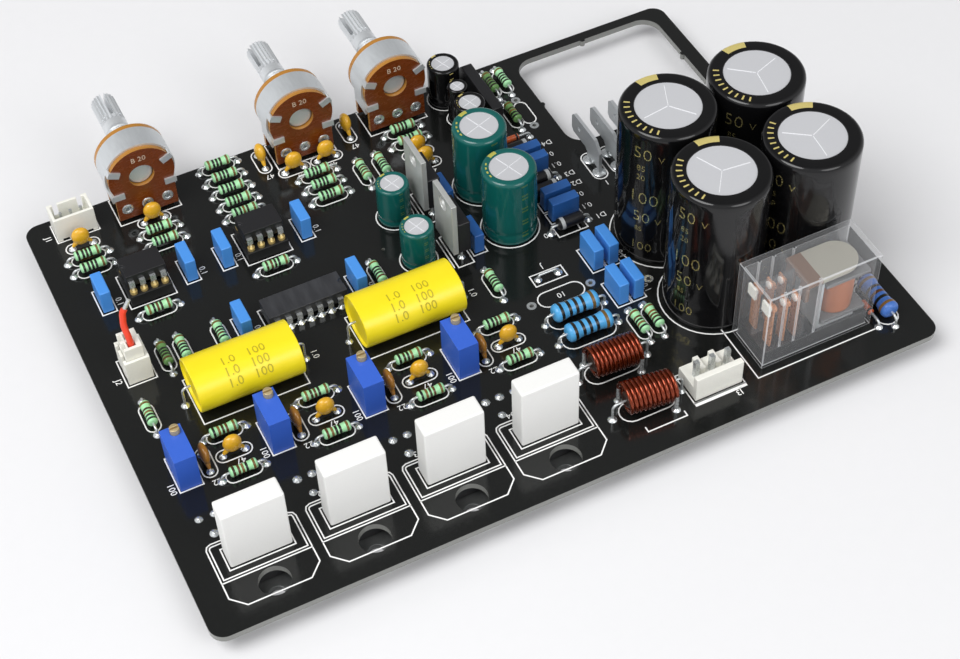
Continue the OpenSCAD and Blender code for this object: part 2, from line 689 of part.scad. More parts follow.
// Round pin sockets: an open frame with a turned cup over each pin
module chip_sockets() color("#151515") on_board()
    for (p = op_amps_at) at(p) difference() {
        block([4 * dip_pitch, dip_row + socket_side, socket_h]);
        block([4 * dip_pitch - 2 * socket_rail, dip_row - 2 * socket_rail, socket_h + 2 * cut], -cut);
    }
module socket_cups() color("#c8b27a") on_board()
    for (p = op_amps_at, q = dual_row(p, 4)) at(q, socket_h) cylinder(r = socket_cup_r, h = socket_cup_h);

// Moulded chip with a half round notch in one end
module chip_body(l, z, notch_end) difference() {
    block([l, dip_body_w, dip_body_t], z);
    translate([notch_end * l / 2, 0, z + dip_body_t - notch_depth]) cylinder(r = notch_r, h = cut);
}
module op_amps() color("#1b1b1d") on_board()
    for (p = op_amps_at) at(p) chip_body(op_amp_l, op_amp_z, -1);
module switch_chip() color("#1b1b1d") on_board()
    at(switch_chip_at) chip_body(switch_chip_l, switch_chip_z, 1);

// One leg of a chip: out of the side, then down to its foot
module chip_leg(q, p, body_z, foot_z) {
    side = q[1] > p[1] ? 1 : -1;
    shoulder_z = body_z + dip_body_t / 2;
    out = dip_row / 2 + leg_t / 2 - dip_body_w / 2;
    translate([q[0], p[1], 0]) mirror([0, side > 0 ? 0 : 1, 0]) {
        translate([-leg_wide / 2, dip_body_w / 2, shoulder_z - leg_t]) cube([leg_wide, out, leg_t]);
        translate([-leg_wide / 2, dip_row / 2 - leg_t / 2, shoulder_z - leg_wide_l])
            cube([leg_wide, leg_t, leg_wide_l]);
        translate([-leg_w / 2, dip_row / 2 - leg_t / 2, foot_z]) cube([leg_w, leg_t, shoulder_z - foot_z]);
    }
}
module chip_legs() color("#c4c6c5") on_board() {
    for (p = op_amps_at, q = dual_row(p, 4)) chip_leg(q, p, op_amp_z, socket_h + socket_cup_h);
    for (q = dual_row(switch_chip_at, 7)) chip_leg(q, switch_chip_at, switch_chip_z, solder_h);
}

// Flat power chips under the front edge, tab forward and metal side down
module power_chip_bodies() color("#1b1b1d") on_board()
    for (x = channel_x) translate([x - chip_w / 2, chip_body_y, chip_tab_z + chip_tab_t])
        cube([chip_w, chip_body_d, chip_body_t]);
module power_chip_tabs() color("#c2c4c3") on_board()
    for (x = channel_x) translate([x - chip_w / 2, chip_body_y - chip_tab_l, chip_tab_z]) difference() {
        cube([chip_w, chip_tab_l + chip_body_d, chip_tab_t]);
        for (e = [0, chip_w]) translate([e, 0, 0]) rotate(45)
            block([chip_chamfer * sqrt(2), chip_chamfer * sqrt(2), chip_tab_t + 2 * cut], -cut);
        translate([chip_w / 2, access_y - chip_body_y + chip_tab_l, -cut])
            cylinder(d = chip_screw_d, h = chip_tab_t + 2 * cut);
    }
module power_chip_leads() color("#c2c4c3") on_board()
    for (p = concat(chip_front_pins, chip_rear_pins)) {
        exit_y = chip_body_y + chip_body_d;
        exit_z = chip_tab_z + chip_tab_t + chip_body_t / 2;
        translate([p[0] - chip_lead_w / 2, exit_y, exit_z])
            cube([chip_lead_w, p[1] + chip_lead_t / 2 - exit_y, chip_lead_t]);
        translate([p[0] - chip_lead_w / 2, p[1] - chip_lead_t / 2, exit_z])
            cube([chip_lead_w, chip_lead_t, under_z - exit_z]);
    }

// White shrouded header for small signal pins, long along its own x
module signal_header(pins) difference() {
    l = (pins - 1) * signal_pin_pitch + signal_header_end;
    block([l, signal_header_w, header_h]);
    block([l - 2 * signal_header_wall, signal_header_w - 2 * signal_header_wall, header_h], header_floor);
    for (s = [-1, 1]) translate([s * (l / 2 - header_key_in), 0, 0]) {
        block([header_vent_w, signal_header_w + 2 * cut, header_vent_h + cut], -cut);
        translate([0, signal_header_w / 2, 0])
            block([header_key_w, signal_header_w / 2, header_h], header_key_z);
    }
}
module input_header() color("#efefe8") on_board() at(input_header_at) signal_header(3);
module select_header() color("#efefe8") on_board() at(select_header_at) rotate(90) signal_header(2);

module output_header() color("#efefe8") on_board() at(output_header_at) {
    l = 2 * speaker_pin_pitch + speaker_header_end;
    block([l, speaker_header_d, speaker_base_h]);
    translate([0, speaker_wall_t / 2 - speaker_header_d / 2, 0]) block([l, speaker_wall_t, header_h]);
    for (x = [-1, 1]) translate([x * speaker_pin_pitch / 2, speaker_header_d / 4, 0])
        block([speaker_rib_w, speaker_header_d / 2, speaker_base_h + speaker_rib_h]);
}
module header_pins() color("#c8c9c4") on_board() {
    signal_pin = [signal_pin_w, signal_pin_w, signal_pin_top - header_floor];
    for (p = row(input_header_at, 3, signal_pin_pitch)) at(p) block(signal_pin, header_floor);
    for (p = column(select_header_at, 2, signal_pin_pitch)) at(p) block(signal_pin, header_floor);
    for (p = row(output_header_at, 3, speaker_pin_pitch)) at(p)
        block([speaker_pin_w, speaker_pin_w, speaker_pin_top - speaker_base_h], speaker_base_h);
}

// Plug pushed into the select header, with a cell for each pin
module select_plug() color("#f1efe2") on_board() at(select_header_at) difference() {
    block(plug_size, header_floor);
    for (s = [-1, 1]) translate([0, s * signal_pin_pitch / 2, 0]) {
        block([plug_cell, plug_cell, plug_top], header_floor - cut);
        translate([-plug_size[0] / 2, 0, 0]) block([plug_cell, plug_cell, plug_top], header_h);
    }
}

// Tube swept along a route of points, one ring of corners at each point
function route_step(r, i) = r[min(i + 1, len(r) - 1)] - r[max(i - 1, 0)];
function unit(v) = v / norm(v);
function ring(r, i, d) = let (t = unit(route_step(r, i)), s = unit(cross(t, [1, 0, 0])), u = cross(t, s))
    [for (k = [0:wire_sides - 1]) let (a = 360 * k / wire_sides) r[i] + d / 2 * (cos(a) * s + sin(a) * u)];
module tube(r, d) {
    n = wire_sides;
    last = len(r) - 1;
    walls = [for (i = [0:last - 1], k = [0:n - 1]) let (m = (k + 1) % n)
        each [[i * n + k, i * n + m, (i + 1) * n + k], [i * n + m, (i + 1) * n + m, (i + 1) * n + k]]];
    ends = [[for (k = [n - 1:-1:0]) k], [for (k = [0:n - 1]) last * n + k]];
    polyhedron([for (i = [0:last]) each ring(r, i, d)], concat(walls, ends));
}
module select_wire() color("#e8452c") on_board() at(wire_at, signal_pin_top) tube(wire_route, wire_d);
module wire_end() {
    last = wire_route[len(wire_route) - 1];
    step = unit(route_step(wire_route, len(wire_route) - 1));
    at(wire_at, signal_pin_top) translate(last)
        rotate([0, acos(step[2]), atan2(step[1], step[0])]) cylinder(d = wire_core_d, h = wire_core_l);
}

// Flat right angle terminal: two legs, a riser and a blade that points to the rear
module supply_blades() color("#b9bab4") on_board() for (x = blades_x) {
    front = blade_feet_y[0];
    rear = blade_feet_y[1];
    tip = rear + blade_reach;
    low = blade_top - blade_w;
    leg = blade_leg_w / 2;
    nose = blade_nose;
    translate([x - blade_t / 2, 0, 0]) rotate([90, 0, 90]) linear_extrude(blade_t) difference() {
        polygon([
            [front - leg, solder_h], [front - leg, blade_top - blade_slope],
            [front - leg + blade_slope, blade_top],
            [tip - nose, blade_top], [tip, blade_top - nose], [tip, low + nose], [tip - nose, low],
            [rear + leg + nose, low], [rear + leg, low - nose],
            [rear + leg, solder_h], [rear - leg, solder_h], [rear - leg, blade_arch_z],
            [front + leg, blade_arch_z], [front + leg, solder_h]]);
        translate([tip - blade_hole_in, blade_top - blade_w / 2]) circle(d = blade_hole_d);
    }
}

module in_relay() on_board() translate([relay_at[0], relay_at[1], 0]) children();

module relay_base() color("#19191a") in_relay()
    translate([relay_wall + relay_play, relay_wall + relay_play, 0])
        cube([relay_in[0] - 2 * relay_play, relay_in[1] - 2 * relay_play, relay_base_h]);

module relay_cover() color("#dfe6ea", 0.3) in_relay() {
    rib_z = relay_base_h + relay_rib;
    difference() {
        cube([relay_l, relay_d, relay_h]);
        translate([relay_wall, relay_wall, -cut])
            cube([relay_in[0], relay_in[1], relay_h - relay_wall + cut]);
    }
    for (x = relay_ribs_x, y = [relay_wall, relay_d - relay_wall - relay_rib])
        translate([x, y, rib_z]) cube([relay_rib, relay_rib, relay_h - relay_wall - rib_z]);
}

module relay_bobbin() color("#d9d4c4") in_relay() at(relay_coil_at) difference() {
    union() {
        block([relay_flange[0], relay_flange[1], relay_flange_t], relay_lower_z);
        block([relay_flange[0], relay_flange[1], relay_flange_t], relay_upper_z);
        translate([0, 0, relay_lower_z]) cylinder(r = relay_tube_r, h = relay_upper_z - relay_lower_z);
    }
    translate([0, 0, relay_lower_z - cut]) cylinder(r = relay_core_r + relay_play, h = relay_pole_z);
}

module relay_winding() color("#c98a6a") in_relay() at(relay_coil_at) difference() {
    translate([0, 0, relay_lower_z + relay_flange_t]) cylinder(r = relay_winding_r, h = relay_winding_h);
    cylinder(r = relay_tube_r + relay_play, h = relay_h);
}

// Core, foot and upright of the magnet, one riveted steel piece
module relay_yoke() color("#a9acae") in_relay() {
    foot_l = relay_coil_at[0] + relay_tube_r - relay_yoke_x;
    translate([relay_yoke_x, (relay_d - relay_yoke_w) / 2, relay_base_h]) {
        cube([foot_l, relay_yoke_w, relay_yoke_t]);
        cube([relay_upright_t, relay_yoke_w, relay_hinge_z - relay_hinge_gap - relay_base_h]);
    }
    at(relay_coil_at, relay_base_h) cylinder(r = relay_core_r, h = relay_pole_z - relay_base_h);
}

// Tilting plate over the pole, with a finger down to each contact spring
module relay_armature() color("#a7aaa0") in_relay() {
    hinge_x = relay_yoke_x + relay_upright_t / 2;
    translate([hinge_x - relay_arm_left, (relay_d - relay_arm_w) / 2, relay_hinge_z])
        cube([relay_arm_left + relay_arm_right - relay_arm_w / 2, relay_arm_w, relay_armature_t]);
    translate([hinge_x + relay_arm_right - relay_arm_w / 2, relay_d / 2, relay_hinge_z])
        cylinder(d = relay_arm_w, h = relay_armature_t);
    for (y = relay_poles_y)
        translate([hinge_x - relay_arm_left, y - relay_strip_w / 2, relay_hinge_z - relay_finger_h])
            cube([relay_finger_t, relay_strip_w, relay_finger_h]);
}

// Upright contact springs and posts of both poles, with their rivets
module relay_contacts() color("#c9805a") in_relay() for (y = relay_poles_y) {
    for (x = relay_strip_x) translate([x - relay_strip_t / 2, y - relay_strip_w / 2, relay_base_h])
        cube([relay_strip_t, relay_strip_w, relay_strip_h]);
    for (x = [relay_strip_x[0], relay_strip_x[1]])
        translate([x + relay_strip_t / 2, y, relay_base_h + relay_strip_h - relay_rivet_down]) along_x()
            cylinder(r = relay_rivet_r, h = relay_rivet_h);
}

// Outline of a control's wafer in its own plane: a disc with a straight foot
module wafer_outline(r, half_foot, low) {
    circle(r = r);
    translate([-half_foot, low - pot_axis_h]) square([2 * half_foot, pot_axis_h - low]);
}
// Lays a flat outline across the control's axis, from y to y + depth
module across_axis(x, y, depth) translate([x, y + depth, pot_axis_h]) rotate([90, 0, 0])
    linear_extrude(depth) children();
// Everything in that plane under a height over the board
module below(z) translate([-pot_foot_w, z - pot_axis_h - 2 * pot_foot_w]) square(2 * pot_foot_w);

module pot_wafer(x, y, r, hole_r) across_axis(x, y, pot_wafer_t) difference() {
    wafer_outline(r, pot_foot_w / 2, pot_foot_z);
    circle(r = hole_r);
    for (i = [-1:1]) translate([i * pot_pin_pitch, eyelet_z - pot_axis_h])
        circle(r = eyelet_barrel_r + eyelet_play);
}
module pot_wafers() color("#8a4a1a") on_board() for (x = pots_x) {
    pot_wafer(x, pot_rear_y, pot_wafer_r, pot_hole_r);
    pot_wafer(x, pot_front_y, pot_wafer_r + pot_band_t, journal_d / 2 + pot_hole_play);
}

// Metal band between the wafers, with four tabs folded over the rear one
module pot_bands() color("#b3b8bb") on_board() for (x = pots_x) {
    outer = pot_wafer_r + pot_band_t;
    across_axis(x, pot_band_y, pot_band_d) difference() {
        wafer_outline(outer, pot_foot_w / 2 + pot_band_t, pot_band_low);
        wafer_outline(pot_wafer_r, pot_foot_w / 2, pot_band_low - cut);
        below(pot_band_low);
    }
    for (t = pot_tabs, m = [0, 1]) translate([x, pot_rear_y - pot_band_t, pot_axis_h]) mirror([m, 0, 0])
        rotate([0, -t[0], 0]) translate([t[2], 0, t[1] - pot_tab_w / 2]) {
            translate([pot_tab_play, 0, 0])
                cube([pot_band_t - pot_tab_play, pot_wafer_t + 2 * pot_band_t, pot_tab_w]);
            translate([-pot_tab_in, 0, 0]) cube([pot_tab_in + pot_band_t, pot_band_t, pot_tab_w]);
        }
}

module pot_bushes() color("#aab0b3") on_board() for (x = pots_x) {
    bore_r = journal_d / 2 + shaft_clearance;
    across_axis(x, pot_plate_y, pot_plate_t) difference() {
        circle(r = pot_plate_r);
        circle(r = bore_r);
    }
    across_axis(x, bush_y, bush_l) difference() {
        circle(d = bush_d);
        circle(r = bore_r);
    }
}

// Riveted eyelets with a strip down to the board, three on each wafer
module pot_terminal(x, y, out) translate([x, y, eyelet_z]) mirror([0, out, 0]) difference() {
    head_y = -pot_wafer_t - eyelet_t;
    union() {
        translate([-pot_strip_w / 2, 0, -eyelet_z])
            cube([pot_strip_w, pot_strip_t, eyelet_z + pot_strip_over]);
        translate([0, head_y, 0]) along_y() cylinder(r = eyelet_barrel_r, h = pot_strip_t / 2 - head_y);
        translate([0, head_y, 0]) along_y() cylinder(r = eyelet_r, h = eyelet_t);
    }
    translate([0, head_y - cut, 0]) along_y()
        cylinder(r = eyelet_bore_r, h = pot_strip_t - head_y + 2 * cut);
}
module pot_terminals() color("#c9cbc8") on_board() for (x = pots_x, i = [-1:1]) {
    pot_terminal(x + i * pot_pin_pitch, pot_band_y, 0);
    pot_terminal(x + i * pot_pin_pitch, pot_front_y, 1);
}

// Shaft with two wiper discs, a stub in the rear wafer, a journal in the bush and a split end
module pot_shaft(n) color("#b5babc") on_board() translate([pots_x[n], 0, pot_axis_h]) {
    rear_disc_y = pot_band_y + rotor_gap;
    front_disc_y = pot_front_y - rotor_gap - rotor_t;
    shoulder_y = bush_y + bush_l + shoulder_gap;
    translate([0, rear_disc_y, 0]) along_y()
        cylinder(d = journal_d, h = shoulder_y + stub_sunk - rear_disc_y);
    difference() {
        translate([0, shoulder_y, 0]) along_y() cylinder(d = shaft_d, h = shaft_tip_y - shoulder_y);
        rotate([0, slot_turns[n], 0]) translate([-slot_w / 2, shaft_tip_y - slot_l, -shaft_d])
            cube([slot_w, slot_l + cut, 2 * shaft_d]);
    }
    translate([0, pot_rear_y + stub_sunk, 0]) along_y()
        cylinder(r = shaft_stub_r, h = rear_disc_y - pot_rear_y);
    for (y = [rear_disc_y, front_disc_y]) translate([0, y, 0]) along_y() cylinder(r = rotor_r, h = rotor_t);
}
module pot_shaft_1() pot_shaft(0);
module pot_shaft_2() pot_shaft(1);
module pot_shaft_3() pot_shaft(2);

module trimmer_bodies() color("#2f55c8") on_board() for (p = trimmers_at) at(p) difference() {
    block([trimmer_w, trimmer_l, trimmer_h]);
    translate([trimmer_screw_at[0], trimmer_screw_at[1], trimmer_h - trimmer_screw_sunk])
        cylinder(r = screw_bore_r, h = trimmer_screw_sunk + cut);
}
module trimmer_screw(n) color("#b89a5a") on_board()
    at(trimmers_at[n] + trimmer_screw_at, trimmer_h - trimmer_screw_sunk + trimmer_floor_gap) {
        screw_l = trimmer_screw_sunk - trimmer_floor_gap + trimmer_screw_rise;
        difference() {
            cylinder(d = trimmer_screw_d, h = screw_l);
            block([2 * trimmer_screw_d, trimmer_slot_w, screw_l], screw_l - trimmer_slot_depth);
        }
    }
module trimmer_screw_1() trimmer_screw(0);
module trimmer_screw_2() trimmer_screw(1);
module trimmer_screw_3() trimmer_screw(2);
module trimmer_screw_4() trimmer_screw(3);

circuit_board();
solder_top();
solder_underside();
signal_resistors();
component_leads();
power_resistors();
cement_resistors();
output_coil_1();
output_coil_2();
film_capacitor_1();
film_capacitor_2();
pale_box_capacitors();
dark_box_capacitors();
drop_capacitors();
disc_capacitors();
rectifier_diodes();
signal_diodes();
reservoir_capacitor_1();
reservoir_capacitor_2();
reservoir_capacitor_3();
reservoir_capacitor_4();
green_capacitors();
black_capacitors();
regulator_bodies();
regulator_tabs();
protection_chip();
chip_sockets();
socket_cups();
op_amps();
switch_chip();
chip_legs();
power_chip_bodies();
power_chip_tabs();
power_chip_leads();
input_header();
output_header();
select_header();
select_plug();
select_wire();
header_pins();
supply_blades();
relay_base();
relay_cover();
relay_bobbin();
relay_winding();
relay_yoke();
relay_armature();
relay_contacts();
pot_bands();
pot_wafers();
pot_bushes();
pot_terminals();
pot_shaft_1();
pot_shaft_2();
pot_shaft_3();
trimmer_bodies();
trimmer_screw_1();
trimmer_screw_2();
trimmer_screw_3();
trimmer_screw_4();
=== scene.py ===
"""Dresses a populated audio amplifier board: print, solder, part finishes, light and camera."""
import math

import bmesh
import bpy
from bpy.props import FloatProperty, FloatVectorProperty, IntProperty, PointerProperty
from bpy.types import Operator, Panel, PropertyGroup
from mathutils import Matrix, Vector


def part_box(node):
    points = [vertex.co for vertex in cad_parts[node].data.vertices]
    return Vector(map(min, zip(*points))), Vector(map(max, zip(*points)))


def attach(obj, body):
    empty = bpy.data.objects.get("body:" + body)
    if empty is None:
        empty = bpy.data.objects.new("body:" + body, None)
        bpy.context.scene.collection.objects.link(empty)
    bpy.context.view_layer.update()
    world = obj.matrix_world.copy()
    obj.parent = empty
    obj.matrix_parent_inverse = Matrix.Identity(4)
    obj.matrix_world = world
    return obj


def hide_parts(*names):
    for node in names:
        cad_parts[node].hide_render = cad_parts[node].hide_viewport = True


bl_info = {
    "name": "Amplifier board dressing",
    "version": (1, 0, 0),
    "blender": (4, 5, 0),
    "location": "View3D > Sidebar > Amplifier",
    "description": "Builds the looks of a populated audio amplifier board around its solids",
    "category": "Add Mesh",
}

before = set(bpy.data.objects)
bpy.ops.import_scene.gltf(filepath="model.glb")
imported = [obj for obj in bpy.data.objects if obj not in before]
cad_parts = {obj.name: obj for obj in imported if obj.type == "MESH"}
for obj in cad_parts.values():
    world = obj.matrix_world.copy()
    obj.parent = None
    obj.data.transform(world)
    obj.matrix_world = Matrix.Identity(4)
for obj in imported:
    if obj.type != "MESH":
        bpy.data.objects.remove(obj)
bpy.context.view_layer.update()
BODY = "board"

# Board millimetres start at the front left corner of the board's top face
BOARD_LOW, BOARD_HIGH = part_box("circuit_board")
TO_WORLD = Matrix.Translation((BOARD_LOW.x, BOARD_LOW.y, BOARD_HIGH.z)) @ Matrix.Scale(0.001, 4)
TO_BOARD = TO_WORLD.inverted()
# Points closer than this are one point: in metres in a CAD mesh, in millimetres in a new one
MERGE = 1e-6
DOUBLES = 1e-4
# Angle in degrees over which an edge counts as sharp
SHARP = 40


def linear(text):
    """sRGB hex to linear red, green and blue."""
    parts = [int(text[i:i + 2], 16) / 255 for i in (1, 3, 5)]
    return tuple(c / 12.92 if c <= 0.04045 else ((c + 0.055) / 1.055) ** 2.4 for c in parts)


def mm(metres):
    """Metres to millimetres."""
    return metres * 1000


def colour_setting(name, description, text):
    """A colour that a user may change, from its sRGB hex value."""
    return FloatVectorProperty(name=name, description=description, subtype="COLOR", default=linear(text))


def length_setting(name, description, default, low, high):
    """A length in metres that a user may change, with its range."""
    return FloatProperty(
        name=name, description=description, default=default, min=low, max=high, unit="LENGTH", precision=5)


class PrintSettings(PropertyGroup):
    """White print on the board"""
    line_width: length_setting("Line width", "Width of a printed line", 0.0003, 0.0001, 0.0006)
    thickness: length_setting("Ink thickness", "Height of the ink over the board", 0.00004, 0.00001, 0.0001)
    label_height: length_setting("Label height", "Height of the printed figures", 0.0016, 0.0008, 0.003)
    ink: colour_setting("Ink", "Colour of the print", "#f2f2f0")


class LacquerSettings(PropertyGroup):
    """Lacquered resistors"""
    band_width: length_setting(
        "Band width", "Width of a colour band on a signal resistor", 0.00055, 0.0003, 0.001)
    mint: colour_setting("Mint", "Lacquer of most signal resistors", "#a9e6ae")
    olive: colour_setting("Olive", "Lacquer of the few darker ones", "#6c9a58")
    pale_blue: colour_setting("Pale blue", "Lacquer of the power resistors", "#55abe4")
    deep_blue: colour_setting("Deep blue", "Lacquer of the relay's resistor", "#4573c0")
    brown: colour_setting("Brown", "Lacquer of the resistors inside the coils", "#2e1c14")


class CapacitorSettings(PropertyGroup):
    """Sleeves, boxes and dipped resin"""
    black: colour_setting("Black sleeve", "Sleeve of the reservoirs", "#0d0d0e")
    green: colour_setting("Green sleeve", "Sleeve of the filters", "#0f5a55")
    gold: colour_setting("Gold ink", "Marks on the sleeves", "#e2d182")
    film: colour_setting("Film wrap", "Wrap of the film parts", "#f6e01c")
    box_pale: colour_setting("Pale box", "Moulding of most boxes", "#4a92e2")
    box_dark: colour_setting("Dark box", "Moulding of the darker boxes", "#2c63ac")
    amber: colour_setting("Amber resin", "Dip of the drops", "#e0aa26")
    brown: colour_setting("Brown resin", "Dip of the discs", "#a06c20")


class ControlSettings(PropertyGroup):
    """Pots and trimmers"""
    knurl_teeth: IntProperty(
        name="Knurl teeth", description="Teeth around a control shaft's end", default=18, min=10, max=40,
        step=2)
    knurl_depth: length_setting("Knurl depth", "Depth of the teeth", 0.00035, 0.0001, 0.0005)
    thread_pitch: length_setting("Thread pitch", "Pitch of the bush's thread", 0.00075, 0.0004, 0.0012)
    phenolic: colour_setting("Phenolic", "Paper laminate of the wafers", "#6f3410")
    trimmer: colour_setting("Trimmer", "Box of the trimmers", "#3663cb")


class StageSettings(PropertyGroup):
    """Floor, light and camera"""
    floor: colour_setting("Floor", "Paper under the board", "#e6e6e7")
    key_power: FloatProperty(
        name="Key light", description="Power of the large soft light", default=7.6, min=0.0, unit="POWER")
    fill_power: FloatProperty(
        name="Fill light", description="Power of the second soft light", default=3.0, min=0.0, unit="POWER")
    sky: FloatProperty(name="Sky", description="Strength of the even light", default=0.8, min=0.0, max=2.0)
    dark_share: FloatProperty(
        name="Dark ceiling", description="Share of that light left behind the board", default=0.32, min=0.0,
        max=1.0)
    lens: FloatProperty(
        name="Lens", description="Focal length on a 36 mm wide sensor", default=70.497, min=20, max=200,
        unit="CAMERA")


def add(tree, kind, inputs=None, **settings):
    """Adds a node with its settings. An input is a value, or a socket to link from."""
    node = tree.nodes.new(kind)
    for name, value in settings.items():
        setattr(node, name, value)
    for name, value in (inputs or {}).items():
        if isinstance(value, bpy.types.NodeSocket):
            tree.links.new(value, node.inputs[name])
        else:
            node.inputs[name].default_value = value
    return node


# Mix node sockets for colours: two inputs and the result
MIX_A, MIX_B, MIX_OUT = 6, 7, 2


def shade(colour, factor):
    """The same colour, darker or lighter, with full alpha."""
    return tuple(min(1.0, c * factor) for c in colour[:3]) + (1.0,)


def finish(name, colour, roughness, metallic=0.0, grain=0.5, relief=0.004, mottle=0.08, stretch=(1, 1, 1),
           ior=1.5, coat=0.0, paint=None):
    """A surface whose colour, gloss and height wander at a grain in mm. Paint may add a colour of its own."""
    material = bpy.data.materials.new(name)
    material.use_nodes = True
    tree = material.node_tree
    shader = tree.nodes["Principled BSDF"]
    shader.inputs["Metallic"].default_value = metallic
    if not metallic:
        shader.inputs["IOR"].default_value = ior
    shader.inputs["Coat Weight"].default_value = coat
    place = add(tree, "ShaderNodeTexCoord")
    drawn = add(tree, "ShaderNodeMapping", {"Vector": place.outputs["Object"], "Scale": stretch})
    noise = add(tree, "ShaderNodeTexNoise", {
        "Vector": drawn.outputs["Vector"], "Scale": 1000 / grain, "Detail": 3.0, "Roughness": 0.6})
    wander = noise.outputs["Fac"]
    tint = add(tree, "ShaderNodeMix", {
        0: wander, MIX_A: shade(colour, 1 - mottle), MIX_B: shade(colour, 1 + mottle)}, data_type="RGBA")
    colour_out = tint.outputs[MIX_OUT]
    if paint:
        colour_out = paint(tree, colour_out)
    gloss = add(tree, "ShaderNodeMapRange", {
        "Value": wander, "From Min": 0.3, "From Max": 0.7, "To Min": max(0.02, roughness - 0.06),
        "To Max": roughness + 0.06})
    lift = add(tree, "ShaderNodeBump", {"Height": wander, "Strength": 0.6, "Distance": relief / 1000})
    tree.links.new(colour_out, shader.inputs["Base Color"])
    tree.links.new(gloss.outputs["Result"], shader.inputs["Roughness"])
    tree.links.new(lift.outputs["Normal"], shader.inputs["Normal"])
    return material


FINISHES = {}


def use(name, *values, **settings):
    """The finish of that name, made when it is first asked for."""
    if name not in FINISHES:
        FINISHES[name] = finish(name, *values, **settings)
    return FINISHES[name]


def tin():
    """Solder: bright, slightly uneven where it froze."""
    return use("Frozen tin solder", linear("#dde1e2"), 0.24, 0.8, grain=0.8, relief=0.02, mottle=0.08)


def tinned_wire():
    """Tinned copper wire: soft bright metal, drawn along its length."""
    return use("Tinned copper wire", linear("#d3d7d7"), 0.3, 0.75, grain=0.4, relief=0.003, mottle=0.08)


def plated_steel():
    """Zinc plated steel: even grey metal with faint rolling streaks."""
    return use("Zinc plated steel", linear("#d4d8da"), 0.4, 0.6, grain=0.5, relief=0.003, mottle=0.07,
               stretch=(1, 0.15, 1))


def moulding():
    """Transfer moulded epoxy of chips: near black, satin, with a fine mould texture."""
    return use("Moulded black epoxy", linear("#1c1c1e"), 0.42, grain=0.18, relief=0.006, mottle=0.15)


def nylon():
    """Natural nylon of the headers: milky white, softly shiny."""
    return use("Natural nylon", linear("#ecebe2"), 0.4, grain=0.6, relief=0.004, mottle=0.04)


def brass():
    """Turned brass: warm metal with fine tool marks."""
    return use("Turned brass", linear("#e3c67f"), 0.34, 0.6, grain=0.2, relief=0.004, mottle=0.1)


def new_mesh(name, bm, smooth=35):
    """Turns board millimetres into a mesh in the row frame, with edges sharper than an angle kept sharp."""
    bm.transform(TO_WORLD)
    bm.normal_update()
    mesh = bpy.data.meshes.new(name)
    bm.to_mesh(mesh)
    bm.free()
    if smooth:
        mesh.shade_smooth()
        mesh.set_sharp_from_angle(angle=math.radians(smooth))
    return mesh


def show(name, mesh, materials=(), replaces=(), slot=None, body=BODY):
    """Adds a finished piece that rides on a body and stands for CAD nodes."""
    piece = bpy.data.objects.new(name, mesh)
    bpy.context.scene.collection.objects.link(piece)
    for material in materials:
        mesh.materials.append(material)
    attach(piece, body)
    if replaces:
        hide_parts(*replaces)
    return piece


def repaint(node, material):
    """Gives a CAD node's own object a better material."""
    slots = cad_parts[node].data.materials
    slots.clear()
    slots.append(material)


def span(node):
    """Lowest and highest corner of a CAD node, in board millimetres."""
    return [TO_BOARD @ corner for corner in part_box(node)]


def merged(node):
    """A CAD node's mesh with its loose triangles joined, in board millimetres."""
    bm = bmesh.new()
    bm.from_mesh(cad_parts[node].data)
    bmesh.ops.remove_doubles(bm, verts=bm.verts, dist=MERGE)
    bm.transform(TO_BOARD)
    return bm


def islands(node):
    """Lowest and highest corner of each separate solid of a CAD node, in board millimetres."""
    bm = merged(node)
    seen = set()
    found = []
    for start in bm.verts:
        if start in seen:
            continue
        seen.add(start)
        stack = [start]
        low = start.co.copy()
        high = start.co.copy()
        while stack:
            vert = stack.pop()
            low = Vector(map(min, low, vert.co))
            high = Vector(map(max, high, vert.co))
            for edge in vert.link_edges:
                other = edge.other_vert(vert)
                if other not in seen:
                    seen.add(other)
                    stack.append(other)
        found.append((low, high))
    bm.free()
    return sorted(found, key=lambda box: (round(box[0].x, 1), round(box[0].y, 1)))


def middle(box):
    """Middle of a box."""
    return (box[0] + box[1]) / 2


def size_of(box):
    """Width, depth and height of a box."""
    return box[1] - box[0]


def lies_along_y(box):
    """Whether a part is longer along Y than along X."""
    size = size_of(box)
    return size.y > size.x


def heading(box):
    """Turn in degrees that lays a part made along X into a box."""
    return 90 if lies_along_y(box) else 0


def turned(degrees, axis):
    """A turn about an axis."""
    return Matrix.Rotation(math.radians(degrees), 4, axis)


def moved(x, y, z):
    """A shift."""
    return Matrix.Translation((x, y, z))


def softened(node, width, name, material, segments=2, slot=None, body=BODY, edges=None):
    """Stands a copy of a CAD node in its place, its sharp edges rounded by a width in mm, or painted too."""
    bm = merged(node)
    bmesh.ops.dissolve_limit(bm, angle_limit=math.radians(1), verts=bm.verts, edges=bm.edges)
    sharp = [e for e in bm.edges if e.is_manifold and e.calc_face_angle(0) > math.radians(SHARP)]
    bevelled = bmesh.ops.bevel(
        bm, geom=sharp, offset=width, offset_type="OFFSET", segments=segments, profile=0.5, affect="EDGES",
        clamp_overlap=True)
    materials = [material]
    if edges:
        materials.append(edges)
        for face in bevelled["faces"]:
            face.material_index = 1
    piece = show(name, new_mesh(node, bm), materials, [node], slot, body)
    level = piece.modifiers.new("Flat faces stay flat", "WEIGHTED_NORMAL")
    level.keep_sharp = True


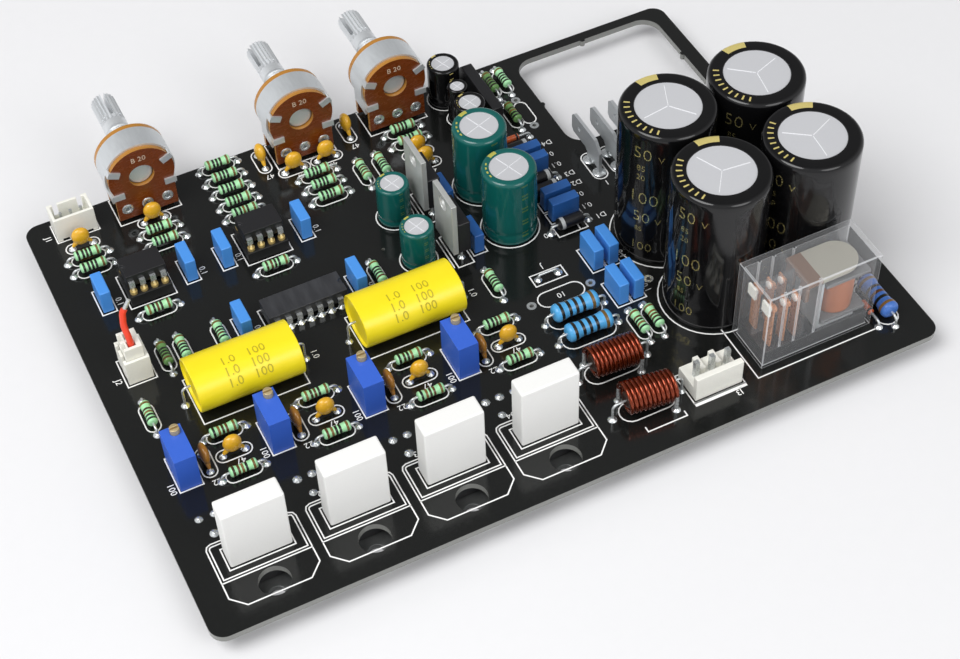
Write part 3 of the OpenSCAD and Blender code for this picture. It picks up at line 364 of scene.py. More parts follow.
def lathe(bm, profile, segments=24, place=Matrix.Identity(4), paint=None):
    """Turns a profile of (radius, height) about Z. Paint tells a face's material by its ring and segment."""
    rings = []
    for radius, height in profile:
        if radius < MERGE:
            rings.append([bm.verts.new(place @ Vector((0, 0, height)))])
            continue
        turn = 2 * math.pi / segments
        rings.append([
            bm.verts.new(place @ Vector((radius * math.cos(i * turn), radius * math.sin(i * turn), height)))
            for i in range(segments)])
    for k, (low, high) in enumerate(zip(rings, rings[1:])):
        if len(low) == len(high) == 1:
            continue
        for i in range(segments):
            j = (i + 1) % segments
            corners = [low[i % len(low)], low[j % len(low)], high[j % len(high)], high[i % len(high)]]
            face = bm.faces.new(list(dict.fromkeys(corners)))
            if paint:
                face.material_index = paint(k, i)


def skin(bm, rings):
    """Joins rings of as many points into a closed skin."""
    for low, high in zip(rings, rings[1:]):
        for i in range(len(low)):
            j = (i + 1) % len(low)
            bm.faces.new((low[i], low[j], high[j], high[i]))
    bm.faces.new(rings[0][::-1])
    bm.faces.new(rings[-1])


def prism(bm, outline, depth, place=Matrix.Identity(4)):
    """A closed prism: an outline in XY, counter-clockwise, pushed up by a depth."""
    skin(bm, [[bm.verts.new(place @ Vector((x, y, z))) for x, y in outline] for z in (0, depth)])


def closed_up(bm):
    """Joins doubles and turns every face outwards."""
    bmesh.ops.remove_doubles(bm, verts=bm.verts, dist=DOUBLES)
    bmesh.ops.recalc_face_normals(bm, faces=bm.faces)


def new_tree(name, *sockets):
    """An empty Geometry Nodes group with named inputs and one geometry output."""
    tree = bpy.data.node_groups.new(name, "GeometryNodeTree")
    tree.is_modifier = True
    for label, kind in sockets:
        tree.interface.new_socket(name=label, in_out="INPUT", socket_type="NodeSocket" + kind)
    tree.interface.new_socket(name="Geometry", in_out="OUTPUT", socket_type="NodeSocketGeometry")
    return tree


def copies_tree():
    """Sets a turned and stretched copy of a piece on every point."""
    tree = new_tree("Copies on points", ("Geometry", "Geometry"), ("Piece", "Object"), ("Finish", "Material"))
    given = add(tree, "NodeGroupInput").outputs
    piece = add(tree, "GeometryNodeObjectInfo", {"Object": given["Piece"]})
    turn = add(tree, "GeometryNodeInputNamedAttribute", {"Name": "turn"}, data_type="FLOAT")
    stretch = add(tree, "GeometryNodeInputNamedAttribute", {"Name": "stretch"}, data_type="FLOAT_VECTOR")
    spin = add(tree, "ShaderNodeCombineXYZ", {"Z": turn.outputs["Attribute"]})
    copies = add(tree, "GeometryNodeInstanceOnPoints", {
        "Points": given["Geometry"], "Instance": piece.outputs["Geometry"],
        "Rotation": spin.outputs["Vector"], "Scale": stretch.outputs["Attribute"]})
    real = add(tree, "GeometryNodeRealizeInstances", {"Geometry": copies.outputs["Instances"]})
    done = add(tree, "GeometryNodeSetMaterial", {
        "Geometry": real.outputs["Geometry"], "Material": given["Finish"]})
    add(tree, "NodeGroupOutput", {"Geometry": done.outputs["Geometry"]})
    return tree


def wire_tree():
    """Draws a round wire along a path of edges."""
    tree = new_tree("Wire along path", ("Geometry", "Geometry"), ("Wire radius", "Float"), ("Sides", "Int"),
                    ("Finish", "Material"))
    given = add(tree, "NodeGroupInput").outputs
    path = add(tree, "GeometryNodeMeshToCurve", {"Mesh": given["Geometry"]})
    round_wire = add(tree, "GeometryNodeCurvePrimitiveCircle", {
        "Resolution": given["Sides"], "Radius": given["Wire radius"]})
    drawn = add(tree, "GeometryNodeCurveToMesh", {
        "Curve": path.outputs["Curve"], "Profile Curve": round_wire.outputs["Curve"], "Fill Caps": True})
    real = add(tree, "GeometryNodeRealizeInstances", {"Geometry": drawn.outputs["Mesh"]})
    done = add(tree, "GeometryNodeSetMaterial", {
        "Geometry": real.outputs["Geometry"], "Material": given["Finish"]})
    add(tree, "NodeGroupOutput", {"Geometry": done.outputs["Geometry"]})
    return tree


TREES = {}


def grown(name, seed, maker, inputs, smooth=35):
    """Runs a Geometry Nodes group on a seed mesh and returns the result as a plain mesh."""
    if maker not in TREES:
        TREES[maker] = maker()
    tree = TREES[maker]
    holder = bpy.data.objects.new(name + "_seed", seed)
    bpy.context.scene.collection.objects.link(holder)
    modifier = holder.modifiers.new("Nodes", "NODES")
    modifier.node_group = tree
    for socket in tree.interface.items_tree:
        if socket.in_out == "INPUT" and socket.name in inputs:
            modifier[socket.identifier] = inputs[socket.name]
    ready = holder.evaluated_get(bpy.context.evaluated_depsgraph_get())
    mesh = bpy.data.meshes.new_from_object(ready)
    mesh.name = name
    bpy.data.objects.remove(holder)
    if smooth:
        mesh.shade_smooth()
        mesh.set_sharp_from_angle(angle=math.radians(smooth))
    return mesh


# Golden section: neighbours in a row get band codes that lie far apart
CODE_STEP = 0.382


def copies(name, bm, places, material, smooth=35):
    """Copies a small mesh, made in mm about its own origin, to (point, turn, stretch, look) places."""
    piece_mesh = bpy.data.meshes.new(name + "_one")
    bm.transform(Matrix.Scale(0.001, 4))
    bm.normal_update()
    bm.to_mesh(piece_mesh)
    bm.free()
    piece = bpy.data.objects.new(name + "_one", piece_mesh)
    bpy.context.scene.collection.objects.link(piece)
    seed = bpy.data.meshes.new(name)
    points, turns, stretches, looks = zip(*places)
    seed.from_pydata([TO_WORLD @ Vector(p) for p in points], [], [])
    for label, kind, field, values in (
            ("turn", "FLOAT", "value", [math.radians(t) for t in turns]),
            ("stretch", "FLOAT_VECTOR", "vector", [c for s in stretches for c in s]),
            ("look", "FLOAT", "value", [float(k) for k in looks]),
            ("code", "FLOAT", "value", [i * CODE_STEP % 1.0 for i in range(len(places))])):
        seed.attributes.new(label, kind, "POINT").data.foreach_set(field, values)
    mesh = grown(name, seed, copies_tree, {"Piece": piece, "Finish": material}, smooth)
    bpy.data.objects.remove(piece)
    return mesh


def wire(name, path, radius, material, sides=12):
    """A round wire of a radius in mm along a path in board millimetres."""
    seed = bpy.data.meshes.new(name)
    seed.from_pydata([TO_WORLD @ Vector(p) for p in path], [(i, i + 1) for i in range(len(path) - 1)], [])
    inputs = {"Wire radius": radius / 1000, "Sides": sides, "Finish": material}
    return grown(name, seed, wire_tree, inputs, 50)


def cut_edges(axis, colour):
    """Paint that shows a cut edge's colour on every face that doesn't face along an axis."""
    def paint(tree, plain):
        facing = add(tree, "ShaderNodeNewGeometry")
        parts = add(tree, "ShaderNodeSeparateXYZ", {"Vector": facing.outputs["True Normal"]})
        along = add(tree, "ShaderNodeMath", {0: parts.outputs[axis]}, operation="ABSOLUTE")
        flat = add(tree, "ShaderNodeMath", {0: along.outputs["Value"], 1: 0.5}, operation="GREATER_THAN")
        both = add(tree, "ShaderNodeMix", {0: flat.outputs["Value"], MIX_A: shade(linear(colour), 1),
                                           MIX_B: plain}, data_type="RGBA")
        return both.outputs[MIX_OUT]
    return paint


def past_x(x, colour):
    """Paint that shows another colour on the side of a place along X that is nearer the board's left edge."""
    def paint(tree, plain):
        place = add(tree, "ShaderNodeTexCoord")
        parts = add(tree, "ShaderNodeSeparateXYZ", {"Vector": place.outputs["Object"]})
        past = add(tree, "ShaderNodeMath", {0: parts.outputs["X"], 1: x}, operation="LESS_THAN")
        both = add(tree, "ShaderNodeMix", {0: past.outputs["Value"], MIX_A: plain,
                                           MIX_B: shade(linear(colour), 1)}, data_type="RGBA")
        return both.outputs[MIX_OUT]
    return paint


def end_band(colour):
    """Paint that shows another colour where the band attribute is 1."""
    def paint(tree, plain):
        band = add(tree, "ShaderNodeAttribute", attribute_name="band")
        both = add(tree, "ShaderNodeMix", {0: band.outputs["Fac"], MIX_A: plain,
                                           MIX_B: shade(linear(colour), 1)}, data_type="RGBA")
        return both.outputs[MIX_OUT]
    return paint


# A copy that isn't stretched
ONE = (1, 1, 1)


class PieceOperator:
    """What all the operators of the board share"""
    bl_options = {"REGISTER", "UNDO"}


class AMP_OT_board(PieceOperator, Operator):
    """Gives the laminate its black mask and grey cut edges"""
    bl_idname = "amp.board"
    bl_label = "Circuit board"

    def execute(self, context):
        # Glass epoxy under black solder mask: dark, glossy, with a faint weave and grey sawn edges
        mask = use("Black solder mask", linear("#161716"), 0.14, grain=0.7, relief=0.0006, mottle=0.12,
                   paint=cut_edges("Z", "#80817d"))
        repaint("circuit_board", mask)
        return {"FINISHED"}


def ribbon(bm, points, width, top, closed=True):
    """A flat printed line with square mitres, from the board up to a height."""
    pts = [Vector(p) for p in points]
    count = len(pts)
    rows = []
    for i, here in enumerate(pts):
        before = pts[i - 1] if closed or i else None
        after = pts[(i + 1) % count] if closed or i < count - 1 else None
        dirs = []
        if before is not None:
            dirs.append((here - before).normalized())
        if after is not None:
            dirs.append((after - here).normalized())
        mean = sum(dirs, Vector((0, 0))).normalized()
        side = Vector((-mean.y, mean.x))
        reach = width / 2 / max(0.35, abs(mean.dot(dirs[0])))
        rows.append([bm.verts.new((p.x, p.y, z)) for p in (here + side * reach, here - side * reach)
                     for z in (0.0, top)])
    steps = range(count if closed else count - 1)
    for i in steps:
        a = rows[i]
        b = rows[(i + 1) % count]
        for p, q in ((0, 1), (1, 3), (3, 2), (2, 0)):
            bm.faces.new((a[p], b[p], b[q], a[q]))
    if not closed:
        for row, order in ((rows[0], (0, 1, 3, 2)), (rows[-1], (2, 3, 1, 0))):
            bm.faces.new([row[k] for k in order])


def rectangle(x0, y0, x1, y1):
    """Corners of a rectangle."""
    return [(x0, y0), (x1, y0), (x1, y1), (x0, y1)]


def ring(x, y, r, count=40):
    """A round outline about a point."""
    return [(x + r * math.cos(2 * math.pi * i / count), y + r * math.sin(2 * math.pi * i / count))
            for i in range(count)]


def capsule(x, y, length, width, along_y=False, count=8):
    """A slot shaped outline about a point."""
    r = width / 2
    half = length / 2 - r
    points = []
    for end, start in ((half, -90), (-half, 90)):
        for i in range(count + 1):
            a = math.radians(start + 180 * i / count)
            points.append((end + r * math.cos(a), r * math.sin(a)))
    return [(x - v, y + u) if along_y else (x + u, y + v) for u, v in points]


# Where a power chip's plastic body starts behind its tab
CHIP_BODY_Y = 12.0
# Printed slot of a small part, length and width
SMALL_SLOT = (8.2, 3.3)
# Middle of two places that carry no part, with half the distance between their lead holes
EMPTY_POWER, EMPTY_POWER_REACH = (104, 49.3), 7.6
EMPTY_SIGNAL, EMPTY_SIGNAL_REACH = (124.3, 106.9), 5.1
# A lone test hole
TEST_HOLE = (124, 44.2)


class AMP_OT_print(PieceOperator, Operator):
    """Prints the white outlines of the parts and plain figures beside them"""
    bl_idname = "amp.print_lines"
    bl_label = "Board print"

    def execute(self, context):
        look = context.scene.amp_print
        width = mm(look.line_width)
        top = mm(look.thickness)
        bm = bmesh.new()
        for points in self.outlines():
            ribbon(bm, points, width, top)
        for points in self.open_lines():
            ribbon(bm, points, width, top, closed=False)
        low, high = span("output_header")
        ribbon(bm, [(low.x - 0.6, low.y - 0.9), (high.x + 0.6, low.y - 0.9)], 1.0, top, closed=False)
        bmesh.ops.recalc_face_normals(bm, faces=bm.faces)
        # Screen printed ink: chalky white, a little uneven
        ink = use("Screen printed ink", look.ink, 0.55, grain=0.3, relief=0.004, mottle=0.04)
        show("print_lines", new_mesh("print_lines", bm, 0), [ink], slot="board_mask")
        self.labels(ink, mm(look.label_height), top)
        return {"FINISHED"}

    def outlines(self):
        """Closed outlines of the parts."""
        for node, slot in (("signal_resistors", SMALL_SLOT), ("drop_capacitors", SMALL_SLOT),
                           ("power_resistors", (13.4, 5.4)), ("disc_capacitors", SMALL_SLOT)):
            for box in islands(node):
                c = middle(box)
                yield capsule(c.x, c.y, *slot, lies_along_y(box))
        for node, gap in (("pale_box_capacitors", 0.45), ("dark_box_capacitors", 0.45),
                          ("trimmer_bodies", 0.25), ("film_capacitor_1", 0.2), ("film_capacitor_2", 0.2),
                          ("chip_sockets", 0.5), ("switch_chip", 0.6), ("protection_chip", 0.4),
                          ("cement_resistors", 0.4), ("relay_cover", 1.9), ("input_header", 0.25),
                          ("output_header", 0.5), ("select_header", 0.5), ("regulator_bodies", 0.4),
                          ("rectifier_diodes", 0.5)):
            for low, high in islands(node):
                yield rectangle(low.x - gap, low.y - gap, high.x + gap, high.y + gap)
        cans = [("green_capacitors", 0.5), ("black_capacitors", 0.4)]
        cans += [(f"reservoir_capacitor_{n}", 0.9) for n in range(1, 5)]
        for node, gap in cans:
            for box in islands(node):
                c = middle(box)
                yield ring(c.x, c.y, size_of(box).x / 2 + gap)
        for low, high in islands("power_chip_tabs"):
            yield from self.chip_outline(low, high)
        pot_half, pot_front, pot_rear = 7.65, 117.2, 126.6
        for box in islands("pot_bushes"):
            x = middle(box).x
            yield rectangle(x - pot_half, pot_front, x + pot_half, pot_rear)
        blade_y = 82.3
        for box in islands("supply_blades"):
            yield capsule(middle(box).x, blade_y, 9.6, 3.7, True)
        # The wire jumper, and the two places that carry no part
        yield rectangle(100, 53.9, 108.1, 57.4)
        yield capsule(*EMPTY_POWER, 11.6, 4.6)
        yield capsule(*EMPTY_SIGNAL, *SMALL_SLOT, True)

    def chip_outline(self, low, high):
        """Outline of a power chip that lies under the board, seen from above."""
        edge = 0.7
        for inset in (0, edge):
            r = 1.3 - inset
            x0, y0, x1, y1 = low.x + inset, CHIP_BODY_Y + inset, high.x - inset, high.y - inset
            yield [(x0, y0), (x1, y0), (x1, y1 - r), (x1 - 0.3 * r, y1 - 0.3 * r), (x1 - r, y1), (x0 + r, y1),
                   (x0 + 0.3 * r, y1 - 0.3 * r), (x0, y1 - r)]

    def open_lines(self):
        """Lines that aren't closed: chip fronts, diode bars, regulator backs and the coil's bracket."""
        bend = 3
        for low, high in islands("power_chip_tabs"):
            yield [(low.x, CHIP_BODY_Y), (low.x, low.y + bend), (low.x + bend, low.y), (high.x - bend, low.y),
                   (high.x, low.y + bend), (high.x, CHIP_BODY_Y)]
        for low, high in islands("rectifier_diodes"):
            yield [(high.x - 1.4, low.y - 0.5), (high.x - 1.4, high.y + 0.5)]
        for low, high in islands("regulator_bodies"):
            yield [(low.x - 1.3, low.y), (low.x - 1.3, high.y)]
        low, high = span("output_coil_2")
        yield [(low.x + 3, low.y - 0.6), (low.x + 3, low.y - 2), (high.x, low.y - 2), (high.x, low.y - 0.6)]

    def labels(self, ink, height, top):
        """Plain figures, one mesh for all of them."""
        bm = bmesh.new()
        for text, x, y, turn in self.figures():
            stamp(bm, text, height, top, moved(x, y, 0) @ turned(turn, "Z"))
        show("print_figures", new_mesh("print_figures", bm, 0), [ink], slot="board_mask")

    def figures(self):
        """Text, place and turn of each printed figure."""
        for box in islands("pale_box_capacitors"):
            yield "0.1", box[1].x + 1.7, middle(box).y - 1.6, -90
        for box in islands("dark_box_capacitors"):
            yield "0.1", box[1].x + 2.6, middle(box).y, 180
        for box in islands("trimmer_bodies"):
            yield "100", box[0].x - 1.6, box[0].y + 1.4, -90
        for box in islands("drop_capacitors"):
            if lies_along_y(box):
                yield "47", middle(box).x, box[0].y - 3.4, 180
            else:
                yield "47", middle(box).x + 0.6, middle(box).y - 2.7, 180
        for box in islands("disc_capacitors"):
            yield "22", middle(box).x + 0.4, box[0].y - 3.2, 180
        for node in ("film_capacitor_1", "film_capacitor_2"):
            low, high = span(node)
            yield "1.0", high.x + 4.4, low.y + 7, -90
        for box in islands("green_capacitors"):
            yield "100", box[1].x + 0.6, box[0].y - 0.2, 180
        for i, box in enumerate(islands("rectifier_diodes")):
            yield f"D{i + 1}", box[1].x + 5, middle(box).y, 180
        for i, box in enumerate(islands("power_chip_tabs")):
            yield f"U{i + 1}", middle(box).x - 5, 23.6, 180
        for i, box in enumerate(islands("supply_blades")):
            yield str(i + 1), middle(box).x, 76, 180
        for i, node in enumerate(("input_header", "select_header", "output_header")):
            low, high = span(node)
            if node == "output_header":
                yield f"J{i + 1}", high.x - 2, low.y - 2.2, 180
            else:
                yield f"J{i + 1}", low.x - 2, low.y + 2, -90
        yield "10", *EMPTY_POWER, 180
        yield "J", 104, 59, 180


# Size of the font over the height of its figures
FONT_SHARE = 1.35


def stamp(bm, text, height, top, place, slim=0.0):
    """Adds raised figures to a mesh, centred on a place with their feet in its plane. Slim thins them."""
    curve = bpy.data.curves.new("figure", "FONT")
    curve.body = text
    curve.size = height * FONT_SHARE
    curve.offset = -slim * curve.size
    curve.align_x = "CENTER"
    curve.align_y = "CENTER"
    curve.resolution_u = 2
    curve.extrude = top / 2
    holder = bpy.data.objects.new("figure", curve)
    flat = holder.to_mesh()
    flat.transform(place @ moved(0, 0, top / 2))
    bm.from_mesh(flat)
    holder.to_mesh_clear()
    bpy.data.objects.remove(holder)
    bpy.data.curves.remove(curve)


class AMP_OT_solder(PieceOperator, Operator):
    """Sets a frozen solder dome on every joint, above and below the board"""
    bl_idname = "amp.solder"
    bl_label = "Solder joints"

    def execute(self, context):
        for node, sign in (("solder_top", 1), ("solder_underside", -1)):
            boxes = islands(node)
            size = size_of(boxes[0])
            height = size.z
            radius = size.x / 2
            bm = bmesh.new()
            tip = 0.42
            profile = [(radius, 0), (0.94 * radius, 0.16 * height), (0.74 * radius, 0.42 * height),
                       (0.54 * radius, 0.72 * height), (tip, 0.94 * height), (0.6 * tip, height), (0, height)]
            lathe(bm, [(r, sign * z) for r, z in profile], 12)
            if sign < 0:
                bmesh.ops.reverse_faces(bm, faces=bm.faces)
            places = []
            for i, (low, high) in enumerate(boxes):
                foot = low.z if sign > 0 else high.z
                swell = 1 + 0.08 * math.sin(2.4 * i)
                places.append(((*middle((low, high)).xy, foot), 0, (swell, swell, 1), 0))
            show(node + "_domes", copies(node + "_domes", bm, places, tin(), 50), (), [node], "solder")
        self.empty_pads()
        self.blade_joints()
        return {"FINISHED"}

    def blade_joints(self):
        """The supply blades stand in broad flat joints."""
        blades = islands("supply_blades")
        reach = 0.8
        places = []
        for box in islands("solder_top"):
            c = middle(box)
            for low, high in blades:
                if abs(c.x - middle((low, high)).x) < reach and low.y - reach < c.y < high.y:
                    places.append(((c.x, c.y, 0), 0, ONE, 0))
        bm = bmesh.new()
        lathe(bm, [(0, 0), (1.7, 0), (1.66, 0.12), (1.4, 0.26), (0.9, 0.44), (0.4, 0.56), (0, 0.6)], 24)
        bmesh.ops.recalc_face_normals(bm, faces=bm.faces)
        show("blade_joints", copies("blade_joints", bm, places, tin(), 50), (), slot="solder")

    def empty_pads(self):
        """Tinned ring pads around the lead holes that carry no part."""
        bm = bmesh.new()
        inner = 0.5
        outer = 1.15
        lift = 0.05
        lathe(bm, [(inner, 0), (outer, 0), (outer, lift), (inner, lift), (inner, 0)], 24)
        closed_up(bm)
        holes = [(EMPTY_SIGNAL[0], EMPTY_SIGNAL[1] + side * EMPTY_SIGNAL_REACH) for side in (-1, 1)]
        holes += [(EMPTY_POWER[0] + side * EMPTY_POWER_REACH, EMPTY_POWER[1]) for side in (-1, 1)]
        places = [((x, y, 0), 0, ONE, 0) for x, y in holes + [TEST_HOLE]]
        show("empty_pads", copies("empty_pads", bm, places, tin(), 50), (), slot="solder")


def banded_bone(length, radius, bands, end_r=0.5):
    """A lacquered resistor along X, about its middle. Its band attribute numbers the colour bands."""
    half = length / 2
    # Shares of the half length where the end cap starts and where the waist starts and is full
    cap, waist, full, waist_depth = 0.84, 0.7, 0.46, 0.13
    stops = {-half, half}
    for share in (0.985, 0.93, cap, waist, 0.58, full, 0.2):
        stops |= {-share * half, share * half}
    for place, width in bands:
        stops |= {place - width / 2, place + width / 2}
    stops = sorted(stops)

    def bulge(x):
        """Radius at a place along the body."""
        u = abs(x) / half
        if u > cap:
            return radius * (end_r + (1 - end_r) * math.sqrt(max(0, 1 - ((u - cap) / (1 - cap)) ** 2)))
        dip = min(1, max(0, (waist - u) / (waist - full)))
        return radius * (1 - waist_depth * dip * dip * (3 - 2 * dip))

    profile = [(0, -half)] + [(bulge(x), x) for x in stops] + [(0, half)]
    bm = bmesh.new()
    lathe(bm, profile, 16, turned(90, "Y"))
    layer = bm.faces.layers.float.new("band")
    bm.normal_update()
    for face in bm.faces:
        x = face.calc_center_median().x
        for number, (place, width) in enumerate(bands, 1):
            if abs(x - place) < width / 2:
                face[layer] = number
    return bm


# Looks of the lacquer, in the order of its colours
MINT, OLIVE, PALE_BLUE, DEEP_BLUE, BROWN = range(5)


def lacquer(context):
    """Resistor lacquer: glossy, one body colour for each look, with painted bands."""
    look = context.scene.amp_lacquer
    looks = [look.mint, look.olive, look.pale_blue, look.deep_blue, look.brown]

    def bands(tree, plain):
        """Body colour by the look attribute, band colours by the band and code attributes."""
        kind = add(tree, "ShaderNodeAttribute", attribute_name="look")
        code = add(tree, "ShaderNodeAttribute", attribute_name="code")
        band = add(tree, "ShaderNodeAttribute", attribute_name="band")
        share = add(tree, "ShaderNodeMath", {0: kind.outputs["Fac"], 1: 1 / len(looks), 2: 0.01},
                    operation="MULTIPLY_ADD")
        body = add(tree, "ShaderNodeValToRGB", {"Fac": share.outputs["Value"]})
        fill_ramp(body, looks)
        pick = add(tree, "ShaderNodeMath", {0: band.outputs["Fac"], 1: 0.29, 2: code.outputs["Fac"]},
                   operation="MULTIPLY_ADD")
        wrap = add(tree, "ShaderNodeMath", {0: pick.outputs["Value"]}, operation="FRACT")
        paint = add(tree, "ShaderNodeValToRGB", {"Fac": wrap.outputs["Value"]})
        fill_ramp(paint, [linear(c) for c in (
            "#1a1a14", "#3c2c16", "#1c1b16", "#5c3a1c", "#181814", "#2a2216", "#7a5a2c", "#1b1b18")])
        last = add(tree, "ShaderNodeMath", {0: band.outputs["Fac"], 1: 4.5}, operation="GREATER_THAN")
        ends = add(tree, "ShaderNodeMix", {0: last.outputs["Value"], MIX_A: paint.outputs["Color"],
                                           MIX_B: shade(linear("#6e5426"), 1)}, data_type="RGBA")
        on = add(tree, "ShaderNodeMath", {0: band.outputs["Fac"], 1: 0.5}, operation="GREATER_THAN")
        uneven = add(tree, "ShaderNodeMix", {0: 1.0, MIX_A: body.outputs["Color"], MIX_B: plain},
                     data_type="RGBA", blend_type="MULTIPLY")
        both = add(tree, "ShaderNodeMix", {0: on.outputs["Value"], MIX_A: uneven.outputs[MIX_OUT],
                                           MIX_B: ends.outputs[MIX_OUT]}, data_type="RGBA")
        return both.outputs[MIX_OUT]

    return use("Resistor lacquer", (0.96, 0.96, 0.96), 0.3, grain=0.9, relief=0.01, mottle=0.05, paint=bands)


def fill_ramp(ramp, colours):
    """Gives a colour ramp equal steps of these colours."""
    ramp.color_ramp.interpolation = "CONSTANT"
    stops = ramp.color_ramp.elements
    while len(stops) < len(colours):
        stops.new(1.0)
    for i in range(len(colours)):
        stops[i].position = i / len(colours)
    for stop, colour in zip(stops, colours):
        stop.color = shade(colour, 1)


class AMP_OT_resistors(PieceOperator, Operator):
    """Builds the banded signal and power resistors"""
    bl_idname = "amp.resistors"
    bl_label = "Resistors"

    def execute(self, context):
        band = mm(context.scene.amp_lacquer.band_width)
        paint = lacquer(context)
        olive_at = [Vector((16.8, 73.8)), Vector((120.9, 119.4)), Vector((120.9, 106.9))]
        places = []
        for box in islands("signal_resistors"):
            c = middle(box)
            olive = any((c.xy - p).length < 1 for p in olive_at)
            places.append((tuple(c), heading(box), ONE, OLIVE if olive else MINT))
        size = size_of(islands("signal_resistors")[0])
        bm = banded_bone(max(size.x, size.y), size.z / 2, [
            (-2.3, band), (-1.15, band), (-0.25, band), (0.65, band), (2.3, band)])
        show("resistor_bodies", copies("resistor_bodies", bm, places, paint), (), ["signal_resistors"],
             "resistor_mint")
        boxes = islands("power_resistors")
        size = size_of(boxes[0])
        relay_x = span("relay_cover")[0].x
        coils_y = span("output_coil_1")[1].y
        places = []
        for box in boxes:
            c = middle(box)
            kind = DEEP_BLUE if c.x > relay_x else BROWN if c.y < coils_y else PALE_BLUE
            places.append((tuple(c), heading(box), ONE, kind))
        wide = 1.4 * band
        bm = banded_bone(max(size.x, size.y), size.z / 2, [
            (-3.9, wide), (-1.9, wide), (-0.2, wide), (1.5, wide), (3.9, wide)])
        show("power_resistor_bodies", copies("power_resistor_bodies", bm, places, paint), (),
             ["power_resistors"], "resistor_blue")
        return {"FINISHED"}


class AMP_OT_leads(PieceOperator, Operator):
    """Gives the bent leads, chip legs, cups, pins and blades their metals"""
    bl_idname = "amp.leads"
    bl_label = "Leads and pins"

    def execute(self, context):
        for node in ("component_leads", "chip_legs", "power_chip_leads", "header_pins"):
            repaint(node, tinned_wire())
        repaint("socket_cups", brass())
        softened("supply_blades", 0.12, "supply_blade_plates", plated_steel(), slot="tinned_pin")
        return {"FINISHED"}


class AMP_OT_cement(PieceOperator, Operator):
    """Rounds the cast cement resistors"""
    bl_idname = "amp.cement"
    bl_label = "Cement resistors"

    def execute(self, context):
        # Cast silicone cement: matt white with a fine grit
        cement = use("Cast white cement", linear("#ebebe8"), 0.7, grain=0.35, relief=0.02, mottle=0.03)
        softened("cement_resistors", 0.45, "cement_blocks", cement, 3, "cement_white")
        return {"FINISHED"}


class AMP_OT_coils(PieceOperator, Operator):
    """Winds the output coils from one length of enamelled wire each"""
    bl_idname = "amp.coils"
    bl_label = "Output coils"

    def execute(self, context):
        # Enamelled copper: dark red-brown varnish over bright metal
        enamel = use("Enamelled copper", linear("#82310f"), 0.22, 0.85, grain=1.2, relief=0.004, mottle=0.16,
                     coat=0.5)
        turns = 11
        wire_r = 0.52
        mean_r = 3.35
        step = 1.09
        for node, lean in (("output_coil_1", -4), ("output_coil_2", -7)):
            low, high = span(node)
            axis_z = high.z - mean_r - wire_r
            c = middle((low, high))
            turn = moved(c.x, c.y, axis_z) @ turned(lean, "Z")
            half = (turns - 1) / 2 * step
            foot = 0.55 - axis_z
            count = 24 * turns - 12
            path = []
            for i in range(count + 1):
                a = 2 * math.pi * (turns - 0.5) * i / count
                x = -half + 2 * half * i / count
                path.append(Vector((x, mean_r * math.cos(a), mean_r * math.sin(a))))
            mesh = wire(node + "_wire", [turn @ p for p in path], wire_r, enamel, 10)
            show(node + "_wire", mesh, (), [node], "enamel_wire")
            for name, x, y in (("rear", -half, mean_r), ("front", half, -mean_r)):
                lead = [turn @ Vector((x, y, z)) for z in (0.3, foot / 2, foot)]
                mesh = wire(f"{node}_{name}_lead", lead, 0.47, tinned_wire(), 10)
                show(f"{node}_{name}_lead", mesh, slot="enamel_wire")
        return {"FINISHED"}


class AMP_OT_films(PieceOperator, Operator):
    """Wraps the film capacitors, with a sunk resin fill at each end"""
    bl_idname = "amp.films"
    bl_label = "Film capacitors"

    def execute(self, context):
        # Polyester tape wrap: glossy, slightly wavy where it lies over the winding
        wrap = use("Polyester tape wrap", context.scene.amp_capacitors.film, 0.34, grain=6, relief=0.12,
                   mottle=0.05)
        # Stamped ink, faded by the glossy tape
        faded = use("Faded stamp ink", linear("#b9aa1e"), 0.4, grain=0.4, relief=0.003, mottle=0.1)
        for node in ("film_capacitor_1", "film_capacitor_2"):
            low, high = span(node)
            c = middle((low, high))
            half = (high.x - low.x) / 2
            r = (high.z - low.z) / 2
            flat = (high.y - low.y) / 2 - r
            bm = bmesh.new()
            rings = []
            for x, inset in ((-half + 0.6, 1.3), (-half + 0.55, 0.5), (-half + 0.1, 0.35), (-half, 0.2),
                             (-half + 0.15, 0.0), (half - 0.15, 0.0), (half, 0.2), (half - 0.1, 0.35),
                             (half - 0.55, 0.5), (half - 0.6, 1.3)):
                rings.append([bm.verts.new((c.x + x, c.y + p[0], c.z + p[1]))
                              for p in capsule(0, 0, 2 * (flat + r - inset), 2 * (r - inset), count=14)])
            skin(bm, rings)
            closed_up(bm)
            show(node + "_wrap", new_mesh(node, bm, 40), [wrap], [node], "film_yellow")
            bm = bmesh.new()
            for lean in (0, 30, 58):
                row = moved(c.x, c.y - flat, c.z) @ turned(lean, "X")
                stamp(bm, "1.0   100", 2.2, 0.03, row @ moved(0, 0, r))
            show(node + "_print", new_mesh(node + "_print", bm, 0), [faded], slot="film_yellow")
        return {"FINISHED"}


class AMP_OT_boxes(PieceOperator, Operator):
    """Rounds the moulded box capacitors"""
    bl_idname = "amp.boxes"
    bl_label = "Boxed capacitors"

    def execute(self, context):
        look = context.scene.amp_capacitors
        # Flame-proof moulded polyester: smooth, medium gloss
        pale = use("Pale blue moulding", look.box_pale, 0.36, grain=0.4, relief=0.006, mottle=0.05)
        dark = use("Dark blue moulding", look.box_dark, 0.36, grain=0.4, relief=0.006, mottle=0.05)
        softened("pale_box_capacitors", 0.3, "pale_boxes", pale, 3, "box_pale_blue")
        softened("dark_box_capacitors", 0.3, "dark_boxes", dark, 3, "box_dark_blue")
        return {"FINISHED"}


